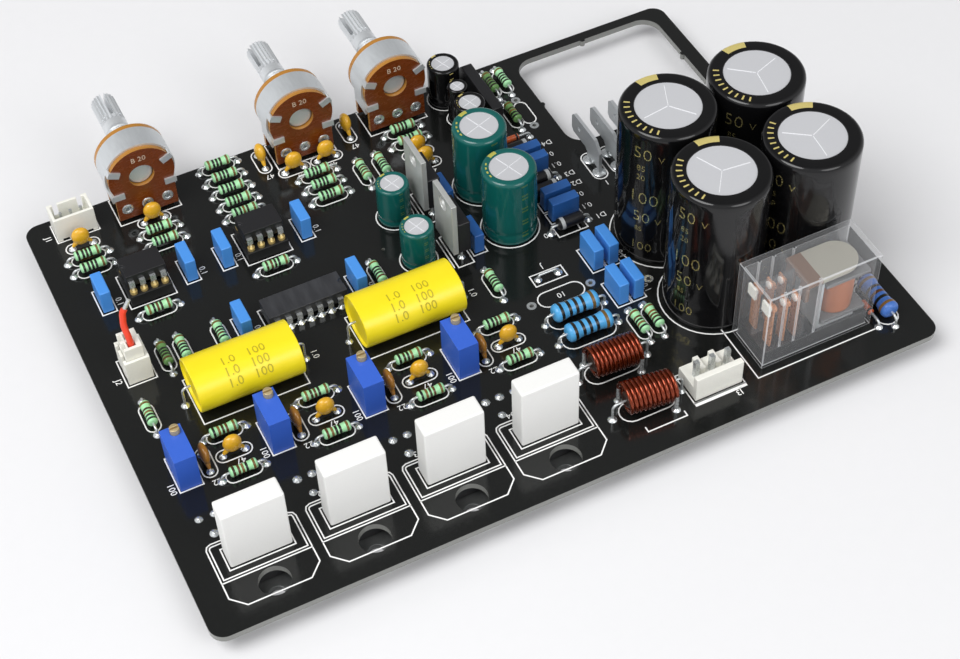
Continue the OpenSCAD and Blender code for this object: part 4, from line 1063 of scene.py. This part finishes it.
class AMP_OT_dipped(PieceOperator, Operator):
    """Forms the dipped drops and discs"""
    bl_idname = "amp.dipped"
    bl_label = "Dipped capacitors"

    def execute(self, context):
        look = context.scene.amp_capacitors
        # Dipped epoxy resin: wet gloss that pools unevenly
        amber = use("Dipped amber resin", look.amber, 0.25, grain=1.4, relief=0.05, mottle=0.1, coat=0.4)
        brown = use("Dipped brown resin", look.brown, 0.25, grain=1.4, relief=0.05, mottle=0.12, coat=0.4)
        for node, name, resin, slot in (("drop_capacitors", "amber_drops", amber, "dip_amber"),
                                        ("disc_capacitors", "brown_discs", brown, "dip_brown")):
            boxes = islands(node)
            size = size_of(boxes[0])
            wide = max(size.x, size.y) / 2
            thick = min(size.x, size.y) / 2
            bm = bmesh.new()
            steps = 14
            foot = 0.62
            profile = [(0, 0), (0.8 * foot, 0)]
            for i in range(1, steps):
                u = i / steps
                r = foot + (1 - foot) * math.sin(math.pi * u) if u < 0.5 else math.sqrt(1 - (2 * u - 1) ** 2)
                profile.append((r, u * size.z))
            profile.append((0, size.z))
            lathe(bm, profile, 20, Matrix.Diagonal((wide, thick, 1, 1)))
            for side in (1, -1):
                start = Vector((0.42 * wide * side, 0, 0.22 * size.z))
                end = Vector((2.3 * side, 0, 0.75 - boxes[0][0].z))
                way = end - start
                lay = Matrix.Translation(start) @ way.to_track_quat("Z", "Y").to_matrix().to_4x4()
                lathe(bm, [(0, 0), (0.72, 0), (0.5, 0.7 * way.length), (0.36, way.length), (0, way.length)],
                      12, lay)
            places = [((*middle(box).xy, box[0].z), heading(box), ONE, 0) for box in boxes]
            show(name, copies(name, bm, places, resin, 60), (), [node], slot)
        return {"FINISHED"}


class AMP_OT_diodes(PieceOperator, Operator):
    """Builds the diodes with their end bands"""
    bl_idname = "amp.diodes"
    bl_label = "Diodes"

    def execute(self, context):
        # Moulded epoxy with a silver ring, and fired orange glass with a black ring
        black = use("Banded diode epoxy", linear("#17171a"), 0.35, grain=0.3, relief=0.006, mottle=0.1,
                    paint=end_band("#b9bcbc"))
        glass = use("Fired diode glass", linear("#b8562c"), 0.12, grain=1.0, relief=0.004, mottle=0.12,
                    coat=0.5, paint=end_band("#1a1614"))
        for node, name, look, slot in (("rectifier_diodes", "rectifier_bodies", black, "diode_black"),
                                       ("signal_diodes", "signal_diode_bodies", glass, "diode_glass")):
            boxes = islands(node)
            size = size_of(boxes[0])
            half = max(size.x, size.y) / 2
            r = min(size.x, size.z) / 2
            edge = 0.25 * r
            band_from, band_to = 0.52 * half, 0.8 * half
            stops = [(0, -half), (r - edge, -half), (r, -half + edge), (r, band_from), (r, band_to),
                     (r, half - edge), (r - edge, half), (0, half)]
            bm = bmesh.new()
            lathe(bm, stops, 20, turned(90, "Y"))
            layer = bm.faces.layers.float.new("band")
            for face in bm.faces:
                x = face.calc_center_median().x
                face[layer] = 1.0 if band_from < x < band_to else 0.0
            # The front diode points the other way
            front = min(b[0].y for b in boxes)
            places = [(tuple(middle(b)), heading(b) + (180 if b[0].y == front else 0), ONE, 0) for b in boxes]
            show(name, copies(name, bm, places, look), (), [node], slot)
        return {"FINISHED"}


# Material slots of a can
SLEEVE, VENT, MARK, SCORE, FAINT = range(5)


def sleeved_can(bm, box, vent_share, scores, turn, marked, segments=72, levels=36):
    """A sleeved can with a scored metal vent. Marked tells which rim and side faces carry ink."""
    low, high = box
    c = middle(box)
    r = (high.x - low.x) / 2
    h = high.z - low.z
    vent_r = vent_share * r
    shoulder = min(1.2, 0.16 * r)
    foot = 0.8
    lip = 0.35
    sunk = 0.3
    profile = [(0, 0), (r - 0.5, 0), (r - 0.05, 0.35), (r, foot)]
    side_ring = len(profile)
    side_top = h - shoulder
    # The sleeve follows the crimp near the can's foot
    crimp, crimp_z, crimp_w = 0.16, 0.16 * h, 0.8
    for k in range(1, levels + 1):
        z = foot + (side_top - foot) * k / levels
        profile.append((r - crimp * max(0.0, 1 - abs(z - crimp_z) / crimp_w), z))
    for k in range(1, 6):
        a = math.radians(18 * k)
        profile.append((r - shoulder + shoulder * math.cos(a), side_top + shoulder * math.sin(a)))
    rim_ring = len(profile) - 1
    flat = r - shoulder - vent_r - lip
    profile += [(vent_r + lip + 0.3 * flat, h), (vent_r + lip, h), (vent_r + 0.1, h - 0.06)]
    profile.append((vent_r, h - 0.28))
    vent_ring = len(profile) - 1
    profile.append((vent_r - 0.3, h - sunk))
    profile += [(vent_r * share, h - sunk) for share in (0.85, 0.6, 0.35, 0.12, 0)]

    def paint(k, i):
        """Material slot of a face."""
        angle = 360 * (i + 0.5) / segments
        if k >= vent_ring:
            return VENT
        if abs(rim_ring - k) < 3 and marked("rim", angle, rim_ring - k):
            return MARK
        if side_ring <= k < side_ring + levels and marked("side", angle, (k - side_ring) / levels):
            return FAINT
        return SLEEVE

    lathe(bm, profile, segments, moved(c.x, c.y, low.z), paint)
    # Score lines pressed into the vent: slim ridges whose brighter colour is a painted highlight
    w = 0.004 * r + 0.035
    line = rectangle(0.02 * r, -w, vent_r - 0.08 * r, w)
    for i in range(scores):
        first = len(bm.faces)
        prism(bm, line, 0.09, moved(c.x, c.y, low.z + h - sunk - 0.01) @ turned(turn + 360 * i / scores, "Z"))
        bm.faces.ensure_lookup_table()
        for face in bm.faces[first:]:
            face.material_index = SCORE


class AMP_OT_reservoirs(PieceOperator, Operator):
    """Builds the large reservoir capacitors"""
    bl_idname = "amp.reservoirs"
    bl_label = "Reservoir capacitors"

    def execute(self, context):
        look = context.scene.amp_capacitors
        mats = [sleeve_black(look), vent_metal(), gold_ink(look), score_highlight_metal()]
        segments = 144
        step = 360 / segments
        # Angle from the rim's marks to the print on the side
        print_turn = 22

        # Fitted to the board at any turn, so each can has its scores and its marks at an angle of their own
        for i, (score_turn, mark_turn) in enumerate(((-6, -17), (68, -5), (24, -22), (20, -3)), 1):
            def marked(part, angle, level, turn=mark_turn):
                """A block and ticks on the rim."""
                at = (angle - turn) % 360
                block = 79 < at < 111 and level in (0, 1, 2)
                tick = 146 < at < 232 and int(at / step) % 4 == 0 and level == 0
                return part == "rim" and (block or tick)

            node = f"reservoir_capacitor_{i}"
            bm = bmesh.new()
            sleeved_can(bm, span(node), 0.68, 3, score_turn, marked, segments)
            show(node + "_can", new_mesh(node, bm, 32), mats, [node], "sleeve_black")
            self.side_print(node, mark_turn + print_turn)
        return {"FINISHED"}

    def side_print(self, node, away):
        """Rows of plain figures bent to the sleeve, turned by an angle in degrees."""
        # Hot foil: thin metal film that mirrors what stands around the can
        foil = use("Hot foil print", linear("#d6c884"), 0.25, 0.8, grain=0.5, relief=0.002, mottle=0.2)
        low, high = span(node)
        c = middle((low, high))
        r = (high.x - low.x) / 2
        bm = bmesh.new()
        # Text, its height, its angle around the can and its height over the board
        for text, height, angle, z in (
                ("50", 3.6, 194, 34), ("V", 2.0, 217, 33.4), ("85", 1.7, 193, 29.6), ("20", 1.7, 193, 26.8),
                ("100", 3.8, 197, 20.4), ("50", 3.4, 196, 14.4), ("V", 1.9, 217, 13.8),
                ("85", 1.5, 193, 10.6), ("100", 2.8, 197, 5)):
            flat = bmesh.new()
            stamp(flat, text, height, 0.04, Matrix.Identity(4), 0.022)
            bmesh.ops.subdivide_edges(flat, edges=flat.edges, cuts=1)
            for vert in flat.verts:
                turn = math.radians(angle + away) + vert.co.x / r
                out = r + vert.co.z
                vert.co = (c.x + out * math.cos(turn), c.y + out * math.sin(turn), low.z + z + vert.co.y)
            spare = bpy.data.meshes.new("spare")
            flat.to_mesh(spare)
            flat.free()
            bm.from_mesh(spare)
            bpy.data.meshes.remove(spare)
        show(node + "_print", new_mesh(node + "_print", bm, 0), [foil], slot="sleeve_black")


def sleeve_black(look):
    """Black shrink sleeve: PVC film, tight and glossy."""
    return use("Black shrink sleeve", look.black, 0.11, grain=5, relief=0.01, mottle=0.2, ior=1.45)


def vent_metal():
    """Deep drawn aluminium of a can's end: pale, evenly matt."""
    return use("Drawn aluminium vent", linear("#cfd0d3"), 0.45, 0.25, grain=0.3, relief=0.004, mottle=0.03)


def score_highlight_metal():
    """Aluminium of the vent's score lines, painted brighter than the matt end around it: a painted highlight.
    """
    return use("Aluminium with painted highlight", linear("#f2f3f5"), 0.3, 0.1, grain=0.3, relief=0.002, mottle=0.02)


def gold_ink(look):
    """Metallic ink on a sleeve: dull gold."""
    return use("Gold sleeve ink", look.gold, 0.35, 0.35, grain=0.4, relief=0.003, mottle=0.1)


class AMP_OT_filters(PieceOperator, Operator):
    """Builds the green and the small black electrolytic capacitors"""
    bl_idname = "amp.filters"
    bl_label = "Small electrolytics"

    def execute(self, context):
        look = context.scene.amp_capacitors
        # Dark green shrink sleeve with pale yellow marks, worn thin on the side
        green = use("Green shrink sleeve", look.green, 0.13, grain=4, relief=0.02, mottle=0.12)
        pale = use("Pale sleeve ink", linear("#b5b04e"), 0.4, grain=0.4, relief=0.003, mottle=0.06)
        worn = use("Worn sleeve ink", linear("#4d7040"), 0.3, grain=0.4, relief=0.003, mottle=0.3)

        def marked(part, angle, level):
            """A block and ticks on the rim, and a row of dashes down the side."""
            if part == "rim":
                block = 97 < angle < 120 and level in (-1, 0, 1, 2)
                return block or (135 < angle < 200 and int(angle / 7.5) % 2 and level == 0)
            return 272 < angle < 288 and int(level * 36) % 8 in (2, 4)

        for node, name, mats, slot in (
                ("green_capacitors", "green_cans", [green, vent_metal(), pale, score_highlight_metal(), worn],
                 "sleeve_green"),
                ("black_capacitors", "black_cans",
                 [sleeve_black(look), vent_metal(), gold_ink(look), score_highlight_metal(), gold_ink(look)],
                 "sleeve_black")):
            bm = bmesh.new()
            for box in islands(node):
                sleeved_can(bm, box, 0.7, 4, 20, marked, 48)
            show(name, new_mesh(name, bm, 32), mats, [node], slot)
        return {"FINISHED"}


class AMP_OT_chips(PieceOperator, Operator):
    """Rounds the chips, sockets and regulators"""
    bl_idname = "amp.chips"
    bl_label = "Chips and regulators"

    def execute(self, context):
        for node, width in (("op_amps", 0.22), ("protection_chip", 0.2), ("regulator_bodies", 0.3),
                            ("power_chip_bodies", 0.3)):
            softened(node, width, node + "_mould", moulding(), 2, "chip_black")
        # Black epoxy painted greyer, with streaks across the chip: a painted sheen
        sheen_epoxy = use("Black epoxy with painted sheen", linear("#343538"), 0.36, grain=1.6, relief=0.005, mottle=0.5,
                     stretch=(1, 0.25, 1))
        softened("switch_chip", 0.22, "switch_chip_mould", sheen_epoxy, 2, "chip_black")
        # Glass filled polyester of the sockets: black, satin
        socket = use("Moulded socket plastic", linear("#141415"), 0.5, grain=0.25, relief=0.006, mottle=0.1)
        softened("chip_sockets", 0.15, "socket_frames", socket, 2, "socket_black")
        # Nickel plated copper: soft grey metal, lightly scuffed
        nickel = use("Nickel plated copper", linear("#cdcfcc"), 0.4, 0.55, grain=0.6, relief=0.005,
                     mottle=0.1, stretch=(1, 1, 0.2))
        softened("regulator_tabs", 0.12, "regulator_plates", nickel, 2, "chip_tab")
        # The same plating on the power chips' tabs, painted darker where they lie in the shade under the
        # board: painted shade
        shaded_nickel = use("Nickel plate with painted shade", linear("#6d6f6e"), 0.34, 0.7, grain=0.6, relief=0.005, mottle=0.12)
        softened("power_chip_tabs", 0.12, "power_chip_plates", shaded_nickel, 2, "chip_tab")
        return {"FINISHED"}


class AMP_OT_headers(PieceOperator, Operator):
    """Rounds the white headers and bends the red wire"""
    bl_idname = "amp.headers"
    bl_label = "Headers and wire"

    def execute(self, context):
        for node, width in (("input_header", 0.12), ("output_header", 0.15), ("select_header", 0.12),
                            ("select_plug", 0.12)):
            softened(node, width, node + "_moulding", nylon(), 2, "header_white")
        # Extruded PVC insulation: bright red, waxy
        red = use("Red PVC insulation", linear("#e23f22"), 0.38, grain=1.2, relief=0.006, mottle=0.06)
        foot = Vector((9.9, 72.45, span("select_wire")[0].z))
        path = [foot + Vector(p) for p in (
            (0, 0, 0), (0, 0, 2.4), (0, 0, 4.6), (-0.05, 0.3, 5.5), (-0.1, 0.7, 6.4), (-0.18, 1.25, 7.3),
            (-0.2, 1.8, 8.2), (-0.1, 2.2, 9), (0.1, 2.5, 9.8), (0.25, 2.8, 10.6), (0.45, 3, 11.2),
            (1, 3.2, 11.8))]
        show("red_wire", wire("red_wire", path, 0.75, red, 16), (), ["select_wire"], "wire_red")
        return {"FINISHED"}


class AMP_OT_relay(PieceOperator, Operator):
    """Finishes the relay's magnet and contacts under a clear cover"""
    bl_idname = "amp.relay"
    bl_label = "Relay"

    def execute(self, context):
        # Glass filled base moulding: dark grey, satin
        base = use("Dark grey moulding", linear("#242426"), 0.4, grain=0.3, relief=0.006, mottle=0.1)
        softened("relay_base", 0.2, "relay_base_moulding", base, 2, "relay_black")
        # Bobbin of unfilled nylon: grey, waxy
        waxy = use("Grey bobbin nylon", linear("#6f6f70"), 0.4, grain=0.5, relief=0.004, mottle=0.06)
        softened("relay_bobbin", 0.15, "relay_bobbin_moulding", waxy, 2, "relay_bobbin")
        # Yellow passivated steel: warm grey, satin, with a bronze spring blade past the hinge
        hinge = TO_WORLD @ span("relay_yoke")[0]
        warm = use("Passivated steel", linear("#b6b2a4"), 0.4, 0.45, grain=0.5, relief=0.003, mottle=0.07,
                   paint=past_x(hinge.x, "#84644f"))
        softened("relay_armature", 0.12, "relay_armature_plate", warm, 2, "relay_steel", "armature")
        repaint("relay_yoke", plated_steel())
        # Phosphor bronze springs: warm copper colour, drawn flat
        bronze = use("Phosphor bronze", linear("#dc9a70"), 0.3, 0.6, grain=0.5, relief=0.003, mottle=0.1)
        repaint("relay_contacts", bronze)
        self.contacts()
        self.winding()
        self.cover()
        return {"FINISHED"}

    def contacts(self):
        """Buttons near the tops of the springs, and white carriers on the outer springs."""
        # Fine silver: pale, faintly yellow, softly shiny
        silver = use("Contact silver", linear("#eceae4"), 0.3, 0.3, grain=0.3, relief=0.003, mottle=0.04)
        buttons = bmesh.new()
        carriers = bmesh.new()
        carrier_half, carrier_h = 1.4, 3.0
        outer_x = span("relay_contacts")[0].x
        for low, high in islands("relay_contacts"):
            y = middle((low, high)).y
            lathe(buttons, [(0, 0), (0.95, 0), (0.95, 0.4), (0.6, 0.6), (0, 0.6)], 16,
                  moved(low.x, y, high.z - 1.2) @ turned(-90, "Y"))
            if low.x < outer_x + 1:
                prism(carriers, rectangle(low.x - 1.2, y - carrier_half, low.x - 0.62, y + carrier_half),
                      carrier_h, moved(0, 0, high.z - 2.6))
        show("relay_buttons", new_mesh("relay_buttons", buttons), [silver], slot="relay_copper")
        show("relay_carriers", new_mesh("relay_carriers", carriers, 0), [nylon()], slot="relay_copper")

    def winding(self):
        """Turns of wire around the bobbin, as coarse as they need to be to show."""
        low, high = span("relay_winding")
        c = middle((low, high))
        r = (high.x - low.x) / 2
        pitch = 0.42
        groove = 0.12
        core_r = r - 1.3
        profile = [(core_r, low.z)]
        for i in range(int((high.z - low.z) / pitch)):
            for share, lift in ((0.1, -groove), (0.35, 0.0), (0.65, 0.0), (0.9, -groove)):
                profile.append((r + lift, low.z + (i + share) * pitch))
        profile += [(core_r, high.z), (core_r, low.z)]
        bm = bmesh.new()
        lathe(bm, profile, 32, moved(c.x, c.y, 0))
        closed_up(bm)
        # Varnished copper: bright, with a fine stripe of turns
        copper = use("Fine copper winding", linear("#b9714a"), 0.32, 0.8, grain=0.5, relief=0.004,
                     mottle=0.12)
        show("relay_winding_turns", new_mesh("relay_winding", bm, 60), [copper], ["relay_winding"],
             "relay_copper")

    def cover(self):
        """Clear moulded polycarbonate: see-through walls with a faint haze, and rounded edges made paler and
        less clear as a painted highlight.
        """
        wall = self.clear("Clear polycarbonate", 0.065)
        # The rounded edges take a paler, less clear copy of the plastic: a painted highlight
        edge = self.clear("Clear polycarbonate painted edge highlight", 0.45)
        softened("relay_cover", 0.16, "relay_cover_moulding", wall, 2, "relay_clear", edges=edge)
        low, high = span("relay_cover")
        springs = span("relay_contacts")
        c = middle((low, high))
        # Inner walls that part the springs from the magnet and from each other
        thin = 0.45
        outer_t = 0.8
        floor = springs[0].z + 1
        bm = bmesh.new()
        x = springs[1].x + 0.35
        for outline in (rectangle(x, low.y + outer_t, x + thin, high.y - outer_t),
                        rectangle(low.x + outer_t, c.y - thin / 2, x, c.y + thin / 2)):
            prism(bm, outline, high.z - outer_t - floor, moved(0, 0, floor))
        show("relay_cover_walls", new_mesh("relay_cover_walls", bm, 0), [wall], slot="relay_clear")

    def clear(self, name, opacity):
        """A clear plastic that lets most light past."""
        material = use(name, linear("#eef0f2"), 0.1, grain=3, relief=0.01, mottle=0.03, ior=1.4)
        material.node_tree.nodes["Principled BSDF"].inputs["Alpha"].default_value = opacity
        return material


class AMP_OT_pots(PieceOperator, Operator):
    """Builds the control pots: bands, phenolic wafers, threaded bushes and knurled shafts"""
    bl_idname = "amp.pots"
    bl_label = "Control pots"

    def execute(self, context):
        look = context.scene.amp_controls
        # Punched phenolic paper: red-brown, waxy, with a faint fibre
        phenolic = use("Punched phenolic paper", look.phenolic, 0.26, grain=0.9, relief=0.006, mottle=0.2,
                       stretch=(0.4, 1, 1), paint=cut_edges("Y", "#b07a32"))
        softened("pot_wafers", 0.1, "pot_wafer_plates", phenolic, 2, "pot_phenolic")
        softened("pot_bands", 0.2, "pot_band_strips", plated_steel(), 3, "pot_metal")
        self.terminals()
        self.figures()
        self.bushes(mm(look.thread_pitch))
        for n in range(1, 4):
            self.shaft(n, look)
        return {"FINISHED"}

    def terminals(self):
        """Riveted eyelets with rolled rims, each on its strip down to the board."""
        bm = bmesh.new()
        rim = 1.45
        rim_t = 0.3
        bore, outer, barrel = 0.6, 0.79, 1.3
        strip_w = 1.6
        strip_t = 0.4
        centre_y = middle(span("pot_bands")).y
        for low, high in islands("pot_terminals"):
            c = middle((low, high))
            rear = c.y < centre_y
            face = low.y + rim_t if rear else high.y - rim_t
            inner = high.y - strip_t if rear else low.y
            lay = moved(c.x, face, high.z - rim) @ turned(90 if rear else -90, "X")
            lathe(bm, [(bore, -barrel), (bore, 0.1), (0.72, 0.25), (0.95, rim_t), (1.2, 0.25),
                       (rim - 0.04, 0.12), (rim, 0), (outer, 0), (outer, -barrel), (bore, -barrel)], 20, lay)
            prism(bm, rectangle(c.x - strip_w / 2, inner, c.x + strip_w / 2, inner + strip_t), high.z - 0.45)
        closed_up(bm)
        show("pot_rivets", new_mesh("pot_terminals", bm), [tin()], ["pot_terminals"], "pot_metal")

    def figures(self):
        """A plain figure over the hole of each rear wafer."""
        # Pale stamped ink on the phenolic
        pale = use("Pale stamp ink", linear("#cdb9a2"), 0.5, grain=0.3, relief=0.003, mottle=0.08)
        bm = bmesh.new()
        rear = span("pot_wafers")[0].y
        for box in islands("pot_bushes"):
            c = middle(box)
            stamp(bm, "B 20", 1.5, 0.03, moved(c.x, rear, c.z + 5.2) @ turned(90, "X"))
        show("pot_figures", new_mesh("pot_figures", bm, 0), [pale], slot="pot_phenolic")

    def bushes(self, pitch):
        """Turned bushes: a round plate, then a thread of rings."""
        bm = bmesh.new()
        bore = 2.85
        thread_r = 3.5
        root = thread_r - 0.25
        for low, high in islands("pot_bushes"):
            c = middle((low, high))
            plate_r = (high.x - low.x) / 2
            plate_y = low.y + 1.4
            profile = [(bore, low.y), (plate_r, low.y), (plate_r, plate_y - 0.2), (plate_r - 0.2, plate_y),
                       (root, plate_y)]
            y = plate_y + 0.3
            while y + pitch < high.y - 0.2:
                profile += [(root, y), (thread_r, y + 0.4 * pitch), (thread_r, y + 0.6 * pitch)]
                y += pitch
            profile += [(root, y), (root, high.y - 0.15), (root - 0.15, high.y), (bore, high.y)]
            profile.append((bore, low.y))
            lathe(bm, profile, 40, moved(c.x, 0, c.z) @ turned(-90, "X"))
        closed_up(bm)
        show("pot_bush_threads", new_mesh("pot_bushes", bm, 30), [plated_steel()], ["pot_bushes"],
             "pot_metal")

    def shaft(self, n, look):
        """A shaft with two wiper discs and a knurled end that is split."""
        node = f"pot_shaft_{n}"
        low, high = span(node)
        c = middle((low, high))
        r = 3.0
        rotor = (high.x - low.x) / 2
        depth = mm(look.knurl_depth)
        knurl_l = 9.4
        slot_l = 8.0
        lay = moved(c.x, 0, c.z) @ turned(-90, "X")
        bush_end = span("pot_bushes")[1].y
        wafers = span("pot_wafers")
        wafer_t = 1.2
        gap = 0.5
        journal = 2.8
        disc_t = 1.4
        disc = wafers[0].y + wafer_t + gap
        front = wafers[1].y - wafer_t - gap - disc_t
        neck = high.y - knurl_l
        bm = bmesh.new()
        lathe(bm, [(0, low.y), (journal, low.y), (journal, disc), (rotor, disc), (rotor, disc + disc_t),
                   (journal, disc + disc_t), (journal, front), (rotor, front), (rotor, front + disc_t),
                   (journal, front + disc_t), (journal, bush_end + 0.2), (r, bush_end + 0.2),
                   (r, neck - 0.2), (r - depth, neck), (0, neck)], 40, lay)
        teeth = look.knurl_teeth
        slot = 0.5
        # The split end of each shaft stands at its own turn
        split = lay @ turned((5, -50, -50)[n - 1], "Z")
        whole = [(d * math.cos(a), d * math.sin(a)) for d, a in (
            (r - depth * (i % 2), math.pi * i / teeth) for i in range(2 * teeth))]
        prism(bm, whole, knurl_l - slot_l, split @ moved(0, 0, neck))
        for side in (1, -1):
            rows = []
            for y, inset in ((high.y - slot_l, 0.0), (high.y - 0.5, 0.0), (high.y, 0.45)):
                edge = self.half_knurl(r - inset, depth, teeth, slot)
                rows.append([bm.verts.new(split @ Vector((side * x, side * z, y))) for x, z in edge])
            skin(bm, rows)
        bmesh.ops.recalc_face_normals(bm, faces=bm.faces)
        # Turned aluminium: pale, with fine tool rings
        aluminium = use("Turned aluminium", linear("#dde0e2"), 0.34, 0.55, grain=0.4, relief=0.004,
                        mottle=0.06, stretch=(0.2, 1, 0.2))
        show(f"knurled_shaft_{n}", new_mesh(node, bm, 30), [aluminium], [node], "shaft_metal", f"shaft_{n}")

    def half_knurl(self, r, depth, teeth, slot):
        """Half of a toothed section, from the slot's flat outwards."""
        points = []
        low_a = math.asin(slot / r)
        for i in range(teeth + 1):
            a = -math.pi / 2 + low_a + (math.pi - 2 * low_a) * i / teeth
            here = r if i % 2 == 0 else r - depth
            points.append((here * math.cos(a), here * math.sin(a)))
        return points


class AMP_OT_trimmers(PieceOperator, Operator):
    """Rounds the multi-turn trimmers and their brass screws"""
    bl_idname = "amp.trimmers"
    bl_label = "Trimmers"

    def execute(self, context):
        look = context.scene.amp_controls
        # Moulded polyester box: strong blue, satin
        blue = use("Blue trimmer moulding", look.trimmer, 0.4, grain=0.35, relief=0.006, mottle=0.06)
        softened("trimmer_bodies", 0.18, "trimmer_boxes", blue, 2, "trimmer_blue")
        # Tarnished brass: paler and greyer than a fresh cut
        tarnished = use("Tarnished brass", linear("#cdb98c"), 0.4, 0.6, grain=0.2, relief=0.004, mottle=0.12)
        for n in range(1, 5):
            softened(f"trimmer_screw_{n}", 0.1, f"trimmer_screw_head_{n}", tarnished, 2, "trimmer_brass",
                     f"screw_{n}")
        return {"FINISHED"}


class AMP_OT_stage(PieceOperator, Operator):
    """Sets the paper floor, the soft lights and the camera"""
    bl_idname = "amp.stage"
    bl_label = "Stage"

    def execute(self, context):
        look = context.scene.amp_stage
        context.scene.view_settings.view_transform = "Standard"
        self.floor(look)
        self.lights(look)
        self.camera(look)
        return {"FINISHED"}

    def floor(self, look):
        """A wide sheet of paper."""
        half = 3.0
        mesh = bpy.data.meshes.new("paper_floor")
        mesh.from_pydata([(x, y, 0) for x, y in rectangle(-half, -half, half, half)], [], [(0, 1, 2, 3)])
        # Uncoated paper: matt, almost even
        paper = finish("Seamless paper", look.floor, 0.8, grain=3, relief=0.02, mottle=0.01)
        mesh.materials.append(paper)
        floor = bpy.data.objects.new("paper_floor", mesh)
        bpy.context.scene.collection.objects.link(floor)

    def lights(self, look):
        """Two soft lamps that aim at the board, under an even sky."""
        for name, place, size, power in (
                ("key_light", (-0.55, -0.1, 0.95), 0.7, look.key_power),
                ("fill_light", (0.25, -0.8, 0.7), 0.6, look.fill_power)):
            lamp = bpy.data.lights.new(name, "AREA")
            lamp.shape = "DISK"
            lamp.size = size
            lamp.energy = power
            holder = bpy.data.objects.new(name, lamp)
            holder.location = place
            holder.rotation_euler = (-Vector(place)).to_track_quat("-Z", "Y").to_euler()
            bpy.context.scene.collection.objects.link(holder)
        world = bpy.data.worlds.new("Studio sky")
        bpy.context.scene.world = world
        world.use_nodes = True
        tree = world.node_tree
        back = tree.nodes["Background"]
        back.inputs["Color"].default_value = shade(linear("#f6f6f8"), 1)
        # The ceiling behind the board is dark, so the black mask stays black
        way = add(tree, "ShaderNodeTexCoord")
        behind = (0.27, 0.59, 0.76)
        facing = add(tree, "ShaderNodeVectorMath", {0: way.outputs["Generated"], 1: behind},
                     operation="DOT_PRODUCT")
        level = add(tree, "ShaderNodeMapRange", {
            "Value": facing.outputs["Value"], "From Min": 0.35, "From Max": 0.9, "To Min": look.sky,
            "To Max": look.dark_share * look.sky})
        tree.links.new(level.outputs["Result"], back.inputs["Strength"])

    def camera(self, look):
        """Stands where the photograph was taken from, found from the board's own corners and pitches."""
        lens = bpy.data.cameras.new("photo_camera")
        lens.lens = look.lens
        lens.sensor_width = 36
        lens.sensor_fit = "HORIZONTAL"
        lens.clip_start = 0.01
        holder = bpy.data.objects.new("photo_camera", lens)
        right = Vector((0.8959, -0.4433, -0.0289))
        ahead = Vector((0.2672, 0.5897, -0.7621))
        up = right.cross(ahead)
        turn = Matrix((right, up, -ahead)).transposed().to_4x4()
        stand = TO_WORLD @ Vector((-30.4, -201.5, 323.1))
        holder.matrix_world = Matrix.Translation(stand) @ turn
        bpy.context.scene.collection.objects.link(holder)
        bpy.context.scene.camera = holder


OPERATORS = (
    AMP_OT_stage, AMP_OT_board, AMP_OT_print, AMP_OT_solder, AMP_OT_leads, AMP_OT_resistors, AMP_OT_cement,
    AMP_OT_coils, AMP_OT_films, AMP_OT_boxes, AMP_OT_dipped, AMP_OT_diodes, AMP_OT_reservoirs,
    AMP_OT_filters, AMP_OT_chips, AMP_OT_headers, AMP_OT_relay, AMP_OT_pots, AMP_OT_trimmers)
SETTINGS = {
    "amp_print": PrintSettings,
    "amp_lacquer": LacquerSettings,
    "amp_capacitors": CapacitorSettings,
    "amp_controls": ControlSettings,
    "amp_stage": StageSettings,
}


class AMP_PT_sidebar(Panel):
    """Lists the pieces of the board and their settings"""
    bl_idname = "AMP_PT_sidebar"
    bl_label = "Amplifier board"
    bl_space_type = "VIEW_3D"
    bl_region_type = "UI"
    bl_category = "Amplifier"

    def draw(self, context):
        for name, group in SETTINGS.items():
            box = self.layout.box()
            box.label(text=group.__doc__)
            for key in group.__annotations__:
                box.prop(getattr(context.scene, name), key)
        for operator in OPERATORS:
            self.layout.operator(operator.bl_idname)


CLASSES = (*SETTINGS.values(), *OPERATORS, AMP_PT_sidebar)


def register():
    """Adds the classes and the scene's settings."""
    for cls in CLASSES:
        bpy.utils.register_class(cls)
    for name, group in SETTINGS.items():
        setattr(bpy.types.Scene, name, PointerProperty(type=group))


def unregister():
    """Takes the settings and the classes away again."""
    for name in SETTINGS:
        delattr(bpy.types.Scene, name)
    for cls in reversed(CLASSES):
        bpy.utils.unregister_class(cls)


def main():
    """Builds every piece in order."""
    register()
    for operator in OPERATORS:
        group, name = operator.bl_idname.split(".")
        getattr(getattr(bpy.ops, group), name)()


if __name__ == "__main__":
    main()
